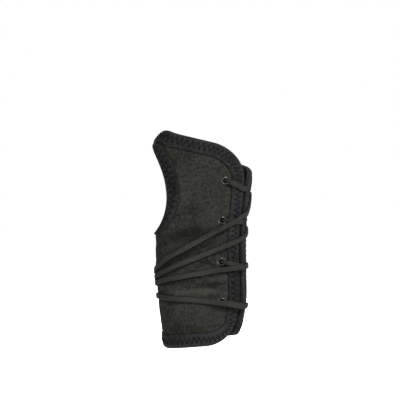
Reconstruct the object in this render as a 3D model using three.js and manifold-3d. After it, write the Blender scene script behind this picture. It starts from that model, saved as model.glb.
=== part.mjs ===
// Lace-up wrist brace for a left hand: a canvas wrap with a thumb hole, open along the little-finger
// side, bound with folded tape all round and drawn together by two laces that end in a pull tab.
// Millimetres. X runs from the thumb side to the little-finger side, Y from the palm to the back of
// the hand, Z from the forearm to the fingers. The origin is on the wrist axis at mid height.

import * as THREE from "three";
import { mergeVertices } from "three/addons/utils/BufferGeometryUtils.js";
import Module from "manifold-3d";

const wasm = await Module();
wasm.setup();

// Thicknesses and clearances
const WALL = 2.6;
const GAP = 0.3;
const TAPE_REST = 0.45;
const TAPE = 0.8;
const TAPE_WIDTH = 12.5;
const TAPE_STRIPS = 3;
const TAPE_ROUND = 0.7;
const FOLD_GAP = 0.5;
const SEAT = TAPE_REST + TAPE;

// The worn form, one row per height: the wrap's two side lines, its half depth, and how far the palm
// edge and the flap edge of the slit lie from the little-finger line, measured along the wrap
const FORM = [
  { z: -114, thumb: -34.2, little: 28.0, depth: 27.5, palmCut: 17.0, flapCut: 11.0 },
  { z: -100, thumb: -35.2, little: 30.6, depth: 27.5, palmCut: 17.2, flapCut: 11.0 },
  { z: -87, thumb: -36.8, little: 34.2, depth: 27.0, palmCut: 17.6, flapCut: 11.2 },
  { z: -72, thumb: -39.0, little: 38.3, depth: 26.0, palmCut: 17.4, flapCut: 12.6 },
  { z: -55, thumb: -40.4, little: 40.4, depth: 25.0, palmCut: 16.0, flapCut: 12.2 },
  { z: -31, thumb: -42.4, little: 40.0, depth: 23.5, palmCut: 15.0, flapCut: 11.4 },
  { z: 0, thumb: -42.8, little: 39.8, depth: 22.5, palmCut: 14.2, flapCut: 10.6 },
  { z: 18, thumb: -43.2, little: 40.6, depth: 22.5, palmCut: 13.6, flapCut: 10.0 },
  { z: 34, thumb: -43.6, little: 42.8, depth: 22.5, palmCut: 13.6, flapCut: 10.0 },
  { z: 53, thumb: -44.2, little: 45.0, depth: 22.0, palmCut: 14.0, flapCut: 10.2 },
  { z: 80, thumb: -44.7, little: 46.6, depth: 21.5, palmCut: 14.2, flapCut: 10.2 },
  { z: 100, thumb: -40.2, little: 46.8, depth: 21.5, palmCut: 14.2, flapCut: 10.2 },
  { z: 114, thumb: -36.5, little: 47.0, depth: 21.0, palmCut: 14.2, flapCut: 10.2 },
];
const FLATNESS = 2.6;

// How finely the surfaces are divided
const SECTION_STEPS = 480;
const CURVE_STEPS = 720;
const PROBE = 0.8;
const WELD = 1e-3;
const SLIT_STEPS = 12;
const HOLE_STEPS = 32;
const WALL_ROWS = { below: 9, above: 5 };
const COLUMNS = { corner: 7, back: 7, beside: 2, hole: 7, web: 10, palm: 3 };
const BESIDE_HOLE = 30;

// Flat pattern. U runs across the wrap from the thumb line, positive over the palm, negative over the
// back. For each half: its free edge, the slope and bow of its end lines, and its two corners
const PALM = {
  edge: 90, topSlope: 0.245, topBow: 0, topRun: 30, topDrop: 27,
  bottomSlope: 0.071, bottomRun: 28, bottomRise: 21, webReach: 9,
};
const BACK = {
  edge: 115, topSlope: 0.512, topBow: 0.0014, topRun: 22, topDrop: 18,
  bottomSlope: 0.126, bottomRun: 22, bottomRise: 17, webReach: 18,
};
const TOP_AT_THUMB = 100.7;
const BOTTOM_AT_THUMB = -103.5;
const RIDGE_ROUND = 6;
const WEB_TAPE = { z: 86.3, least: 4.2, flare: 0.2 };
const FOOT_TAPE = { z: 5.5, least: 3.2, flare: 0.27 };
const WEB_DIP = 8.5;
const TOP_TIP = { u: 15, reach: 8, rise: 1.2 };
const CUFF_RISE = { depth: 3, reach: 10 };

// Thumb hole on the thumb line, an egg with its narrow end towards the fingers
const HOLE = { half: 19.4, mid: 36, up: 44.5, down: 30.5 };
const HOLE_UPPER = { across: 1.6, along: 1.75 };
const HOLE_LOWER = { across: 2, along: 2 };

// Broad folds of the canvas: place, direction in degrees, half length, half width and height
const FOLDS = [
  { u: 26, z: -3, turn: 20, length: 18, width: 10, height: 0.7 },
  { u: 50, z: -9, turn: 25, length: 30, width: 10, height: -0.6 },
  { u: 34, z: -49, turn: 5, length: 20, width: 9, height: 0.6 },
  { u: 58, z: -46, turn: -6, length: 17, width: 9, height: 0.5 },
  { u: 40, z: -80, turn: 5, length: 26, width: 11, height: -0.5 },
  { u: -60, z: 10, turn: -15, length: 34, width: 12, height: 0.7 },
];

// Eyelets: four along each edge of the slit
const EYELET = { bore: 2.0, barrel: 2.45, hole: 2.8, flange: 3.3, roll: 3.1, sides: 10 };
const EYELET_LIP = { seat: 0.3, top: 1.0, bevel: 0.4, tuck: 0.6, foot: 0.5 };
const EYELET_INSET = 18.7;
const PALM_EYELETS = [52.3, 15.8, -22.3, -58.6];
const BACK_EYELETS = [40, 8, -26, -63];

// Laces: an oval cord on the wrap, pinched round where it goes through an eyelet
const LACE = { width: 4.6, height: 2.2, pinch: 1.15 };
const LACE_SECTION = [
  { side: 1, up: 0 }, { side: 0.55, up: 1 }, { side: -0.55, up: 1 },
  { side: -1, up: 0 }, { side: -0.55, up: -1 }, { side: 0.55, up: -1 },
];
const LACE_REST = 0.5;
const ON_CANVAS = LACE_REST + LACE.height / 2;
const ON_TAPE = SEAT + ON_CANVAS;
const OVER_LACE = ON_TAPE + LACE.height + GAP;
const UNDER_CANVAS = -WALL - ON_CANVAS;
const UNDER_TAPE = -WALL - ON_TAPE;
const IN_BORE = -WALL / 2;
const BORE_UP = 1.3;
const BORE_DOWN = -WALL - BORE_UP - GAP;
const TURN_UP = 3.1;
const TURN_DOWN = -WALL - TURN_UP - GAP;
const SLIT_WIDTH = 3.7;
const SLIT = PALM.edge + SLIT_WIDTH / 2;
const PALM_ROW = PALM.edge - EYELET_INSET;
const BACK_ROW = PALM.edge + SLIT_WIDTH + EYELET_INSET;
const ROUTE_STEP = 7;
const LACE_STEP = 7.5;
const LACE_PROBE = 0.35;
const LACE_DIVE = 0.5;
const LACE_TURN = THREE.MathUtils.degToRad(20);

// Pull tab on the back: two leaves of webbing closed over the lace ends
const TAB = { mouth: -38, throat: -47, shoulder: -56, end: -84, leaf: 1.0 };
const TAB_Z = { middle: -45.1, half: 13.4, rows: 3 };
const TAB_COLUMNS = { mouth: 2, shoulder: 2, pull: 4 };
const LACE_ENDS = [-37, -42.4, -47.8, -53.2];
const TAB_TOP = 2 * TAB.leaf + 2 * LACE_REST + LACE.height;
const TAB_SLIM = 3.2;

const CANVAS = { color: 0x363732, roughness: 0.92, metalness: 0 };
const WEBBING = { color: 0x2b2b2a, roughness: 0.85, metalness: 0 };
const BRAID = { color: 0x3c3d38, roughness: 0.88, metalness: 0 };
const GUNMETAL = { color: 0x4a4845, roughness: 0.35, metalness: 1 };

const clamp = THREE.MathUtils.clamp;

// Smooth value of one column of the form at a height
function formAt(column, z) {
  let i = 0;
  while (i < FORM.length - 2 && z > FORM[i + 1].z) i += 1;
  const slope = (k) => {
    const below = FORM[Math.max(k - 1, 0)];
    const above = FORM[Math.min(k + 1, FORM.length - 1)];
    return (above[column] - below[column]) / (above.z - below.z);
  };
  const span = FORM[i + 1].z - FORM[i].z;
  const t = (z - FORM[i].z) / span;
  const start = (1 + 2 * t) * (1 - t) ** 2;
  const leave = t * (1 - t) ** 2;
  const arrive = t * t * (t - 1);
  return start * FORM[i][column] + (1 - start) * FORM[i + 1][column]
    + span * (leave * slope(i) + arrive * slope(i + 1));
}

// One level section of the form as points with their run round it, from the thumb line over the palm
const sectionCache = new Map();
function sectionAt(z) {
  const key = z.toFixed(2);
  if (sectionCache.has(key)) return sectionCache.get(key);
  const thumb = formAt("thumb", z);
  const little = formAt("little", z);
  const depth = formAt("depth", z);
  const points = [];
  let run = 0;
  for (let i = 0; i <= SECTION_STEPS; i += 1) {
    const angle = (2 * Math.PI * i) / SECTION_STEPS;
    const bow = Math.sign(Math.cos(angle)) * Math.abs(Math.cos(angle)) ** (2 / FLATNESS);
    const x = (thumb + little) / 2 - (bow * (little - thumb)) / 2;
    const y = -depth * Math.sin(angle);
    if (i > 0) run += Math.hypot(x - points[i - 1].x, y - points[i - 1].y);
    points.push({ x, y, run });
  }
  const section = { points, girth: run };
  sectionCache.set(key, section);
  return section;
}

// Point of the form at a run round its section and a height
function formPoint(run, z) {
  const { points, girth } = sectionAt(z);
  const wanted = THREE.MathUtils.euclideanModulo(run, girth);
  let low = 0;
  let high = points.length - 1;
  while (high - low > 1) {
    const middle = (low + high) >> 1;
    if (points[middle].run > wanted) high = middle;
    else low = middle;
  }
  const t = (wanted - points[low].run) / (points[high].run - points[low].run);
  const x = THREE.MathUtils.lerp(points[low].x, points[high].x, t);
  const y = THREE.MathUtils.lerp(points[low].y, points[high].y, t);
  return new THREE.Vector3(x, y, z);
}

// Run round the section for a place on the flat pattern; past the palm edge it crosses the slit
function runAt(u, z) {
  const half = sectionAt(z).girth / 2;
  const palmReach = half - formAt("palmCut", z);
  const backReach = half + formAt("flapCut", z);
  if (u > PALM.edge) return palmReach + (u - PALM.edge);
  if (u >= 0) return (u * palmReach) / PALM.edge;
  return (u * backReach) / BACK.edge;
}

function foldHeight(u, z) {
  let height = 0;
  for (const fold of FOLDS) {
    const turn = THREE.MathUtils.degToRad(fold.turn);
    const along = (u - fold.u) * Math.cos(turn) + (z - fold.z) * Math.sin(turn);
    const over = (z - fold.z) * Math.cos(turn) - (u - fold.u) * Math.sin(turn);
    height += fold.height * Math.exp(-((along / fold.length) ** 2) - (over / fold.width) ** 2);
  }
  return height;
}

function normalAt(u, z) {
  const run = runAt(u, z);
  const across = formPoint(run + PROBE, z).sub(formPoint(run - PROBE, z));
  const along = formPoint(run, z + PROBE).sub(formPoint(run, z - PROBE));
  return across.cross(along).normalize();
}

// Point at a place on the flat pattern and a height over the outer face of the canvas
function place(u, z, n) {
  const lift = n + foldHeight(u, z);
  return formPoint(runAt(u, z), z).addScaledVector(normalAt(u, z), lift);
}

// Edges of the flat pattern as drawn
const halfOf = (u) => (u >= 0 ? PALM : BACK);
const ridge = (u) => Math.hypot(u, RIDGE_ROUND) - RIDGE_ROUND;
const swell = (depth, reach, u) => depth * Math.exp(-((u / reach) ** 2));
function cornerShare(u, edge, run) {
  const t = clamp((Math.abs(u) - (edge - run)) / run, 0, 1);
  return 1 - Math.sqrt(1 - t * t);
}
function topAt(u) {
  const half = halfOf(u);
  const far = ridge(u);
  const line = TOP_AT_THUMB - half.topSlope * far + half.topBow * far * far;
  const shape = swell(TOP_TIP.rise, TOP_TIP.reach, u - TOP_TIP.u) - swell(WEB_DIP, half.webReach, u);
  return line + shape - half.topDrop * cornerShare(u, half.edge, half.topRun);
}
function bottomAt(u) {
  const half = halfOf(u);
  const line = BOTTOM_AT_THUMB + half.bottomSlope * ridge(u);
  const rise = swell(CUFF_RISE.depth, CUFF_RISE.reach, u);
  return line + rise + half.bottomRise * cornerShare(u, half.edge, half.bottomRun);
}
function holeAt(angle) {
  const upper = Math.sin(angle) > 0;
  const power = upper ? HOLE_UPPER : HOLE_LOWER;
  const c = Math.cos(angle);
  const s = Math.sin(angle);
  const u = HOLE.half * Math.sign(c) * Math.abs(c) ** (2 / power.across);
  const reach = upper ? HOLE.up : HOLE.down;
  return { u, z: HOLE.mid + reach * Math.sign(s) * Math.abs(s) ** (2 / power.along) };
}

// The drawn edges as fine curves with the canvas on their left
function fineCurve(pointAt) {
  return Array.from({ length: CURVE_STEPS + 1 }, (_, i) => pointAt(i / CURVE_STEPS));
}
function sideways(t) {
  const middle = (PALM.edge - BACK.edge) / 2;
  return middle - (Math.cos(t * Math.PI) * (PALM.edge + BACK.edge)) / 2;
}
const TOP_CURVE = fineCurve((t) => ({ u: sideways(1 - t), z: topAt(sideways(1 - t)) }));
const BOTTOM_CURVE = fineCurve((t) => ({ u: sideways(t), z: bottomAt(sideways(t)) }));
const HOLE_TOP_CURVE = fineCurve((t) => holeAt((1 - t) * Math.PI));
const HOLE_BOTTOM_CURVE = fineCurve((t) => holeAt(-t * Math.PI));

// A curve moved to its left by a margin, and its height at a place across the pattern
function inset(curve, margin) {
  return curve.map((here, i) => {
    const before = curve[Math.max(i - 1, 0)];
    const after = curve[Math.min(i + 1, curve.length - 1)];
    const left = new THREE.Vector2(before.z - after.z, after.u - before.u).setLength(margin);
    return { u: here.u + left.x, z: here.z + left.y };
  });
}
function heightOn(curve, u) {
  const sorted = curve[0].u < curve[curve.length - 1].u ? curve : curve.slice().reverse();
  let i = 0;
  while (i < sorted.length - 2 && sorted[i + 1].u < u) i += 1;
  const t = clamp((u - sorted[i].u) / (sorted[i + 1].u - sorted[i].u), 0, 1);
  return THREE.MathUtils.lerp(sorted[i].z, sorted[i + 1].z, t);
}

// Columns of the pattern: close together where the form bends or an edge turns, wider on the flats
function spread(from, to, count, ease) {
  const steps = [];
  for (let i = 0; i < count; i += 1) steps.push(from + (to - from) * ease(i / count));
  return steps;
}
const even = (t) => t;
const closing = (t) => Math.sin((t * Math.PI) / 2);
const opening = (t) => 1 - Math.cos((t * Math.PI) / 2);
const widening = (t) => t ** 1.5;
function holeColumns(rim) {
  return [...spread(-rim, 0, COLUMNS.hole, opening), ...spread(0, rim, COLUMNS.hole, closing)];
}
function webColumns(rim) {
  return spread(-rim, rim, COLUMNS.web, even);
}
function patternColumns(margin, middleColumns) {
  const rim = HOLE.half + margin;
  const palmEnd = PALM.edge - margin;
  const backEnd = BACK.edge - margin;
  const palmCorner = PALM.edge - PALM.topRun;
  const backCorner = BACK.edge - BACK.topRun;
  return [
    ...spread(-backEnd, -backCorner, COLUMNS.corner, widening),
    ...spread(-backCorner, -BESIDE_HOLE, COLUMNS.back, even),
    ...spread(-BESIDE_HOLE, -rim, COLUMNS.beside, even),
    ...middleColumns(rim),
    ...spread(rim, BESIDE_HOLE, COLUMNS.beside, even),
    ...spread(BESIDE_HOLE, palmCorner, COLUMNS.palm, even),
    ...spread(palmCorner, palmEnd, COLUMNS.corner, closing),
    palmEnd,
  ];
}

// Triangles gathered point by point into one closed geometry
class Soup {
  constructor() {
    this.values = [];
  }

  triangle(a, b, c) {
    for (const p of [a, b, c]) this.values.push(p.x, p.y, p.z);
  }

  quad(a, b, c, d) {
    this.triangle(a, b, c);
    this.triangle(a, c, d);
  }

  geometry() {
    const loose = new THREE.BufferGeometry();
    loose.setAttribute("position", new THREE.Float32BufferAttribute(this.values, 3));
    return shaded(mergeVertices(loose, WELD));
  }
}
function shaded(geometry) {
  geometry.computeVertexNormals();
  return geometry;
}

// A rings-by-section grid: closed round the section, and closed along the rings or capped at its ends
function sweep(rings, loop) {
  const soup = new Soup();
  const count = rings.length;
  const size = rings[0].length;
  for (let i = 0; i < (loop ? count : count - 1); i += 1) {
    const here = rings[i];
    const next = rings[(i + 1) % count];
    for (let k = 0; k < size; k += 1) {
      const m = (k + 1) % size;
      soup.quad(here[k], here[m], next[m], next[k]);
    }
  }
  if (!loop) {
    const capped = (ring, flip) => {
      const centre = new THREE.Vector3();
      for (const p of ring) centre.addScaledVector(p, 1 / size);
      for (let k = 0; k < size; k += 1) {
        const m = (k + 1) % size;
        if (flip) soup.triangle(centre, ring[m], ring[k]);
        else soup.triangle(centre, ring[k], ring[m]);
      }
    };
    capped(rings[0], true);
    capped(rings[count - 1], false);
  }
  return soup.geometry();
}

// The canvas wall: cells of the flat pattern given thickness, with an edge face wherever a cell is free
function wallGeometry() {
  const columns = patternColumns(SEAT, holeColumns);
  const rim = HOLE.half + SEAT;
  const edges = [BOTTOM_CURVE, HOLE_BOTTOM_CURVE, HOLE_TOP_CURVE, TOP_CURVE].map((c) => inset(c, SEAT));
  const [bottom, holeBottom, holeTop, top] = edges;
  const ladder = (u, from, to, rows) => (
    Array.from({ length: rows + 1 }, (_, j) => ({ u, z: THREE.MathUtils.lerp(from, to, j / rows) }))
  );
  const ladders = columns.map((u) => {
    const open = Math.abs(u) < rim - GAP / 10;
    const low = open ? heightOn(holeBottom, u) : HOLE.mid;
    const high = open ? heightOn(holeTop, u) : HOLE.mid;
    return [
      ladder(u, heightOn(bottom, u), low, WALL_ROWS.below),
      ladder(u, high, heightOn(top, u), WALL_ROWS.above),
    ];
  });
  const cells = [];
  for (let i = 0; i + 1 < columns.length; i += 1) {
    ladders[i].forEach((left, part) => {
      const right = ladders[i + 1][part];
      for (let j = 0; j + 1 < left.length; j += 1) {
        cells.push([left[j], right[j], right[j + 1], left[j + 1]]);
      }
    });
  }
  const soup = new Soup();
  const label = (p) => `${p.u.toFixed(3)} ${p.z.toFixed(3)}`;
  const free = new Map();
  for (const cell of cells) {
    const outer = cell.map((p) => place(p.u, p.z, 0));
    const inner = cell.map((p) => place(p.u, p.z, -WALL));
    soup.quad(...outer);
    soup.quad(...inner.slice().reverse());
    for (let k = 0; k < cell.length; k += 1) {
      const m = (k + 1) % cell.length;
      const back = `${label(cell[m])} ${label(cell[k])}`;
      if (!free.delete(back)) {
        free.set(`${label(cell[k])} ${label(cell[m])}`, [outer[k], inner[k], inner[m], outer[m]]);
      }
    }
  }
  for (const side of free.values()) soup.quad(...side);
  return soup.geometry();
}

// Closed solids in and out of the library that cuts them
function solidOf(geometry) {
  const bare = new THREE.BufferGeometry();
  bare.setAttribute("position", geometry.getAttribute("position"));
  if (geometry.index) bare.setIndex(geometry.index);
  const merged = mergeVertices(bare, WELD);
  const vertProperties = new Float32Array(merged.getAttribute("position").array);
  const triVerts = new Uint32Array(merged.index.array);
  return new wasm.Manifold(new wasm.Mesh({ numProp: 3, vertProperties, triVerts }));
}
function geometryOf(solid) {
  const { vertProperties, triVerts } = solid.getMesh();
  const geometry = new THREE.BufferGeometry();
  geometry.setAttribute("position", new THREE.BufferAttribute(vertProperties, 3));
  geometry.setIndex(new THREE.BufferAttribute(triVerts, 1));
  return shaded(geometry);
}

// Where the eyelets sit, each with its axis along the surface normal
const eyeletSpots = [
  ...PALM_EYELETS.map((z, i) => ({ name: `eyelet_palm_${i + 1}`, u: PALM_ROW, z })),
  ...BACK_EYELETS.map((z, i) => ({ name: `eyelet_back_${i + 1}`, u: BACK_ROW, z })),
];
function eyeletPose({ u, z }) {
  const upright = new THREE.Vector3(0, 1, 0);
  const turn = new THREE.Quaternion().setFromUnitVectors(upright, normalAt(u, z));
  return { position: place(u, z, 0), turn };
}
function eyeletGeometry() {
  const { bore, barrel, flange, roll, sides } = EYELET;
  const { seat, top, bevel, tuck, foot } = EYELET_LIP;
  const inside = -WALL - tuck;
  const profile = [
    [bore, inside - foot], [roll, inside - foot], [barrel, inside], [barrel, seat],
    [flange, seat], [flange - bevel, top], [bore, top - bevel], [bore, inside - foot],
  ];
  const points = profile.map(([r, y]) => new THREE.Vector2(r, y));
  const lathe = new THREE.LatheGeometry(points, sides);
  lathe.deleteAttribute("normal");
  lathe.deleteAttribute("uv");
  return shaded(mergeVertices(lathe, WELD));
}

function wrapGeometry() {
  let solid = solidOf(wallGeometry());
  for (const spot of eyeletSpots) {
    const punch = new THREE.CylinderGeometry(EYELET.hole, EYELET.hole, 4 * WALL, EYELET.sides);
    const { position, turn } = eyeletPose(spot);
    punch.translate(0, -WALL / 2, 0);
    punch.applyQuaternion(turn);
    punch.translate(position.x, position.y, position.z);
    solid = solid.subtract(solidOf(punch));
  }
  return geometryOf(solid);
}

// Folded tape: a U section that closes over an edge of the wall, with its two leaves on the faces
function tapeSection(width) {
  const outer = [];
  const inner = [];
  const mouth = SEAT - FOLD_GAP;
  for (let i = 0; i <= TAPE_STRIPS; i += 1) {
    const share = 1 - i / TAPE_STRIPS;
    outer.push(THREE.MathUtils.lerp(TAPE_ROUND, width, share));
    inner.push(THREE.MathUtils.lerp(mouth, width, share));
  }
  const leaf = (list, n) => list.map((d) => ({ d, n }));
  return [
    ...leaf(outer, SEAT), { d: 0, n: -WALL / 2 },
    ...leaf(outer.slice().reverse(), -WALL - SEAT),
    ...leaf(inner, -WALL - TAPE_REST),
    ...leaf(inner.slice().reverse(), TAPE_REST),
  ];
}
function tapeGeometry(loop, widthAt) {
  const rings = loop.map((here, i) => {
    const before = loop[(i + loop.length - 1) % loop.length];
    const after = loop[(i + 1) % loop.length];
    const inward = new THREE.Vector2(before.z - after.z, after.u - before.u).normalize();
    return tapeSection(widthAt(here)).map(({ d, n }) => (
      place(here.u + inward.x * d, here.z + inward.y * d, n)
    ));
  });
  return sweep(rings, true);
}

// Both bound edges as loops with the canvas on their left
function edgeLoop() {
  const columns = patternColumns(0, webColumns);
  const last = columns.length - 1;
  const loop = [];
  for (let i = 0; i < last; i += 1) loop.push({ u: columns[i], z: bottomAt(columns[i]) });
  const climb = (u, from, to) => {
    for (let i = 0; i < SLIT_STEPS; i += 1) {
      loop.push({ u, z: THREE.MathUtils.lerp(from, to, i / SLIT_STEPS) });
    }
  };
  climb(columns[last], bottomAt(columns[last]), topAt(columns[last]));
  for (let i = last; i > 0; i -= 1) loop.push({ u: columns[i], z: topAt(columns[i]) });
  climb(columns[0], topAt(columns[0]), bottomAt(columns[0]));
  return loop;
}
function holeLoop() {
  return Array.from({ length: HOLE_STEPS }, (_, i) => holeAt((-2 * Math.PI * i) / HOLE_STEPS));
}
const flaring = ({ u, z }, tape) => tape.least + tape.flare * Math.hypot(u, z - tape.z);
const edgeWidth = (spot) => Math.min(TAPE_WIDTH, flaring(spot, WEB_TAPE));
const holeWidth = (spot) => Math.min(edgeWidth(spot), flaring(spot, FOOT_TAPE));

// A lace as rings along its route; each route row is a place on the pattern, a height and a pinch
function lacePoints(route) {
  const points = [];
  route.forEach((row, i) => {
    const last = route[i - 1];
    const span = last ? Math.hypot(row.u - last.u, row.z - last.z) : 0;
    const parts = Math.max(Math.ceil(span / ROUTE_STEP), 1);
    for (let k = last ? 1 : parts; k <= parts; k += 1) {
      const t = k / parts;
      const mix = (key) => (last ? THREE.MathUtils.lerp(last[key], row[key], t) : row[key]);
      points.push({ u: mix("u"), z: mix("z"), n: mix("n"), round: mix("round") });
    }
  });
  return points;
}
// Places along the lace for its rings, closer together the faster it turns
function laceStops(curve) {
  const probes = Math.ceil(curve.getLength() / LACE_PROBE);
  const stops = [0];
  let lastTangent = curve.getTangent(0);
  let travel = 0;
  for (let i = 1; i < probes; i += 1) {
    const t = i / probes;
    travel += curve.getPoint(t).distanceTo(curve.getPoint((i - 1) / probes));
    const tangent = curve.getTangent(t);
    if (travel > LACE_STEP || tangent.angleTo(lastTangent) > LACE_TURN) {
      stops.push(t);
      lastTangent = tangent;
      travel = 0;
    }
  }
  return [...stops, 1];
}
// The flat of the lace lies on the wrap; where it goes through it, the flat turns evenly in between
const squareTo = (vector, along) => vector.clone().addScaledVector(along, -vector.dot(along)).normalize();
function setFlats(rings) {
  let last = 0;
  rings[0].up = squareTo(rings[0].normal, rings[0].ahead);
  for (let i = 1; i < rings.length; i += 1) {
    if (Math.abs(rings[i].ahead.dot(rings[i].normal)) > LACE_DIVE) continue;
    const carried = [rings[last].up];
    for (let k = last + 1; k <= i; k += 1) carried.push(squareTo(carried[k - last - 1], rings[k].ahead));
    let target = squareTo(rings[i].normal, rings[i].ahead);
    if (target.dot(carried[i - last]) < 0) target.negate();
    for (let k = i; k > last; k -= 1) {
      const share = (k - last) / (i - last);
      rings[k].up = squareTo(carried[k - last].clone().lerp(target, share), rings[k].ahead);
      target = squareTo(target, rings[k - 1].ahead);
    }
    last = i;
  }
}
function laceGeometry(route) {
  const rows = lacePoints(route);
  const curve = new THREE.CatmullRomCurve3(rows.map((p) => place(p.u, p.z, p.n)), false, "centripetal");
  const count = rows.length - 1;
  const rings = laceStops(curve).map((t) => {
    const i = Math.min(Math.floor(t * count), count - 1);
    const mix = (key) => THREE.MathUtils.lerp(rows[i][key], rows[i + 1][key], t * count - i);
    const normal = normalAt(mix("u"), mix("z"));
    return { point: curve.getPoint(t), ahead: curve.getTangent(t), normal, round: mix("round") };
  });
  setFlats(rings);
  return sweep(rings.map(({ point, ahead, up, round }) => {
    const side = new THREE.Vector3().crossVectors(ahead, up);
    const wide = THREE.MathUtils.lerp(LACE.width / 2, LACE.pinch, round);
    const high = THREE.MathUtils.lerp(LACE.height / 2, LACE.pinch, round);
    return LACE_SECTION.map((corner) => (
      point.clone().addScaledVector(side, wide * corner.side).addScaledVector(up, high * corner.up)
    ));
  }), false);
}

// Route rows shared by the laces
const at = (u, z, n, round = 0) => ({ u, z, n, round });
// From a palm eyelet over the bound edge, down the slit and under the flap to a back eyelet. The way is
// 0 at the palm eyelet, 1 at the slit and 2 at the back eyelet
const STRAND = [
  { u: PALM_ROW, way: 0, n: BORE_DOWN, round: 1 },
  { u: PALM_ROW, way: 0, n: IN_BORE, round: 1 },
  { u: PALM_ROW, way: 0, n: BORE_UP, round: 1 },
  { u: PALM_ROW + 2.4, way: 0.12, n: TURN_UP - 0.2, round: 0.6 },
  { u: PALM_ROW + 6.5, way: 0.35, n: ON_TAPE, round: 0 },
  { u: PALM.edge - 2.5, way: 1, n: ON_TAPE, round: 0 },
  { u: PALM.edge + 0.6, way: 1, n: ON_TAPE - 0.1, round: 0 },
  { u: SLIT, way: 1, n: ON_TAPE - 1.7, round: 0 },
  { u: SLIT, way: 1, n: IN_BORE, round: 0 },
  { u: SLIT + 0.2, way: 1, n: UNDER_TAPE + 1.6, round: 0 },
  { u: SLIT + 3.2, way: 1.1, n: UNDER_TAPE - 0.2, round: 0 },
  { u: SLIT + 7, way: 1.35, n: UNDER_TAPE, round: 0 },
  { u: BACK_ROW - 8, way: 1.75, n: UNDER_TAPE, round: 0 },
  { u: BACK_ROW - 3.2, way: 1.95, n: TURN_DOWN, round: 0.6 },
  { u: BACK_ROW, way: 2, n: BORE_DOWN, round: 1 },
  { u: BACK_ROW, way: 2, n: IN_BORE, round: 1 },
  { u: BACK_ROW, way: 2, n: BORE_UP, round: 1 },
  { u: BACK_ROW - 1.6, way: 2, n: TURN_UP, round: 0.6 },
  { u: BACK_ROW - 5, way: 2, n: ON_TAPE, round: 0 },
];
function strand(palmZ, slitZ, backZ) {
  return STRAND.map(({ u, way, n, round }) => {
    const over = THREE.MathUtils.lerp(palmZ, slitZ, Math.min(way, 1));
    const z = way <= 1 ? over : THREE.MathUtils.lerp(slitZ, backZ, way - 1);
    return at(u, z, n, round);
  });
}
// Inside stretch that joins two palm eyelets
const INSIDE = [{ past: 2.4, n: TURN_DOWN, round: 0.6 }, { past: 6.5, n: UNDER_CANVAS, round: 0 }];
function inside(from, to) {
  const way = Math.sign(to - from);
  const leaving = INSIDE.map(({ past, n, round }) => at(PALM_ROW, from + way * past, n, round));
  const arriving = INSIDE.map(({ past, n, round }) => at(PALM_ROW, to - way * past, n, round));
  return [...leaving, ...arriving.reverse()];
}
// Last stretch on the back, into the tab's mouth
const IN_TAB = GAP + TAB.leaf + ON_CANVAS;
const TAB_LEAD = 8;
const TAB_STOP = 1;
const toTab = (z) => [
  at(TAB.mouth + TAB_LEAD, z, ON_CANVAS + GAP), at(TAB.mouth, z, IN_TAB),
  at(TAB.throat + TAB_STOP, z, IN_TAB),
];

// The four stretches from a back eyelet over the slit and round the palm to the thumb line and the tab
const upperStart = [
  at(SLIT + 4, 21.8, ON_TAPE), at(SLIT - 4, 19.3, ON_TAPE + 1.9), at(83.5, 16.2, OVER_LACE + 0.3),
  at(76, 11.7, OVER_LACE + 0.4), at(70.5, 8.2, ON_TAPE + 1.2), at(65.5, 5.2, ON_CANVAS),
  at(46.7, -5.4, ON_CANVAS), at(23.4, -18.1, ON_CANVAS), at(13, -25.2, ON_CANVAS),
  at(0, -31.7, ON_CANVAS), ...toTab(LACE_ENDS[0]),
];
const upperEnd = [
  at(SLIT + 4, 1.2, ON_TAPE), at(SLIT - 4, -2.8, ON_TAPE), at(78, -6.5, ON_TAPE), at(72, -9.2, ON_CANVAS),
  at(54.1, -16.4, ON_CANVAS), at(38.6, -22.5, ON_CANVAS), at(21.1, -30.2, ON_CANVAS),
  at(11.2, -34.4, ON_CANVAS), at(0, -37.7, ON_CANVAS), ...toTab(LACE_ENDS[1]),
];
const lowerStart = [
  at(SLIT + 6, -27, ON_TAPE), at(SLIT, -27.6, OVER_LACE), at(85, -28, OVER_LACE + 0.1),
  at(78, -28.8, ON_TAPE + 0.8), at(70, -29.8, ON_CANVAS), at(42.3, -34.6, ON_CANVAS),
  at(20.5, -38.9, ON_CANVAS), at(7.6, -41.4, ON_CANVAS), at(0, -42.6, ON_CANVAS), ...toTab(LACE_ENDS[2]),
];
const lowerEnd = [
  at(SLIT + 6, -63.8, ON_TAPE), at(SLIT, -63.5, OVER_LACE), at(85, -62.7, OVER_LACE + 0.1),
  at(73, -60.6, OVER_LACE + 0.5), at(66.5, -59.6, ON_TAPE + 0.9), at(60, -58.8, ON_CANVAS),
  at(43.7, -57.2, ON_CANVAS), at(22.2, -56, ON_CANVAS), at(11.5, -54.9, ON_CANVAS),
  at(0, -54.2, ON_CANVAS), ...toTab(LACE_ENDS[3]),
];
// One lace: in from the tab, over the flap to a palm eyelet, along the inside and out the same way
function laceRoute({ start, end, rows, slits }) {
  const [first, second] = rows.map((row, i) => strand(PALM_EYELETS[row], slits[i], BACK_EYELETS[row]));
  const middle = inside(PALM_EYELETS[rows[0]], PALM_EYELETS[rows[1]]);
  return [...start.slice().reverse(), ...first.reverse(), ...middle, ...second, ...end];
}
const UPPER_ROUTE = laceRoute({ start: upperStart, end: upperEnd, rows: [0, 1], slits: [44.9, 14.2] });
const LOWER_ROUTE = laceRoute({ start: lowerStart, end: lowerEnd, rows: [2, 3], slits: [-26.4, -62] });

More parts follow.
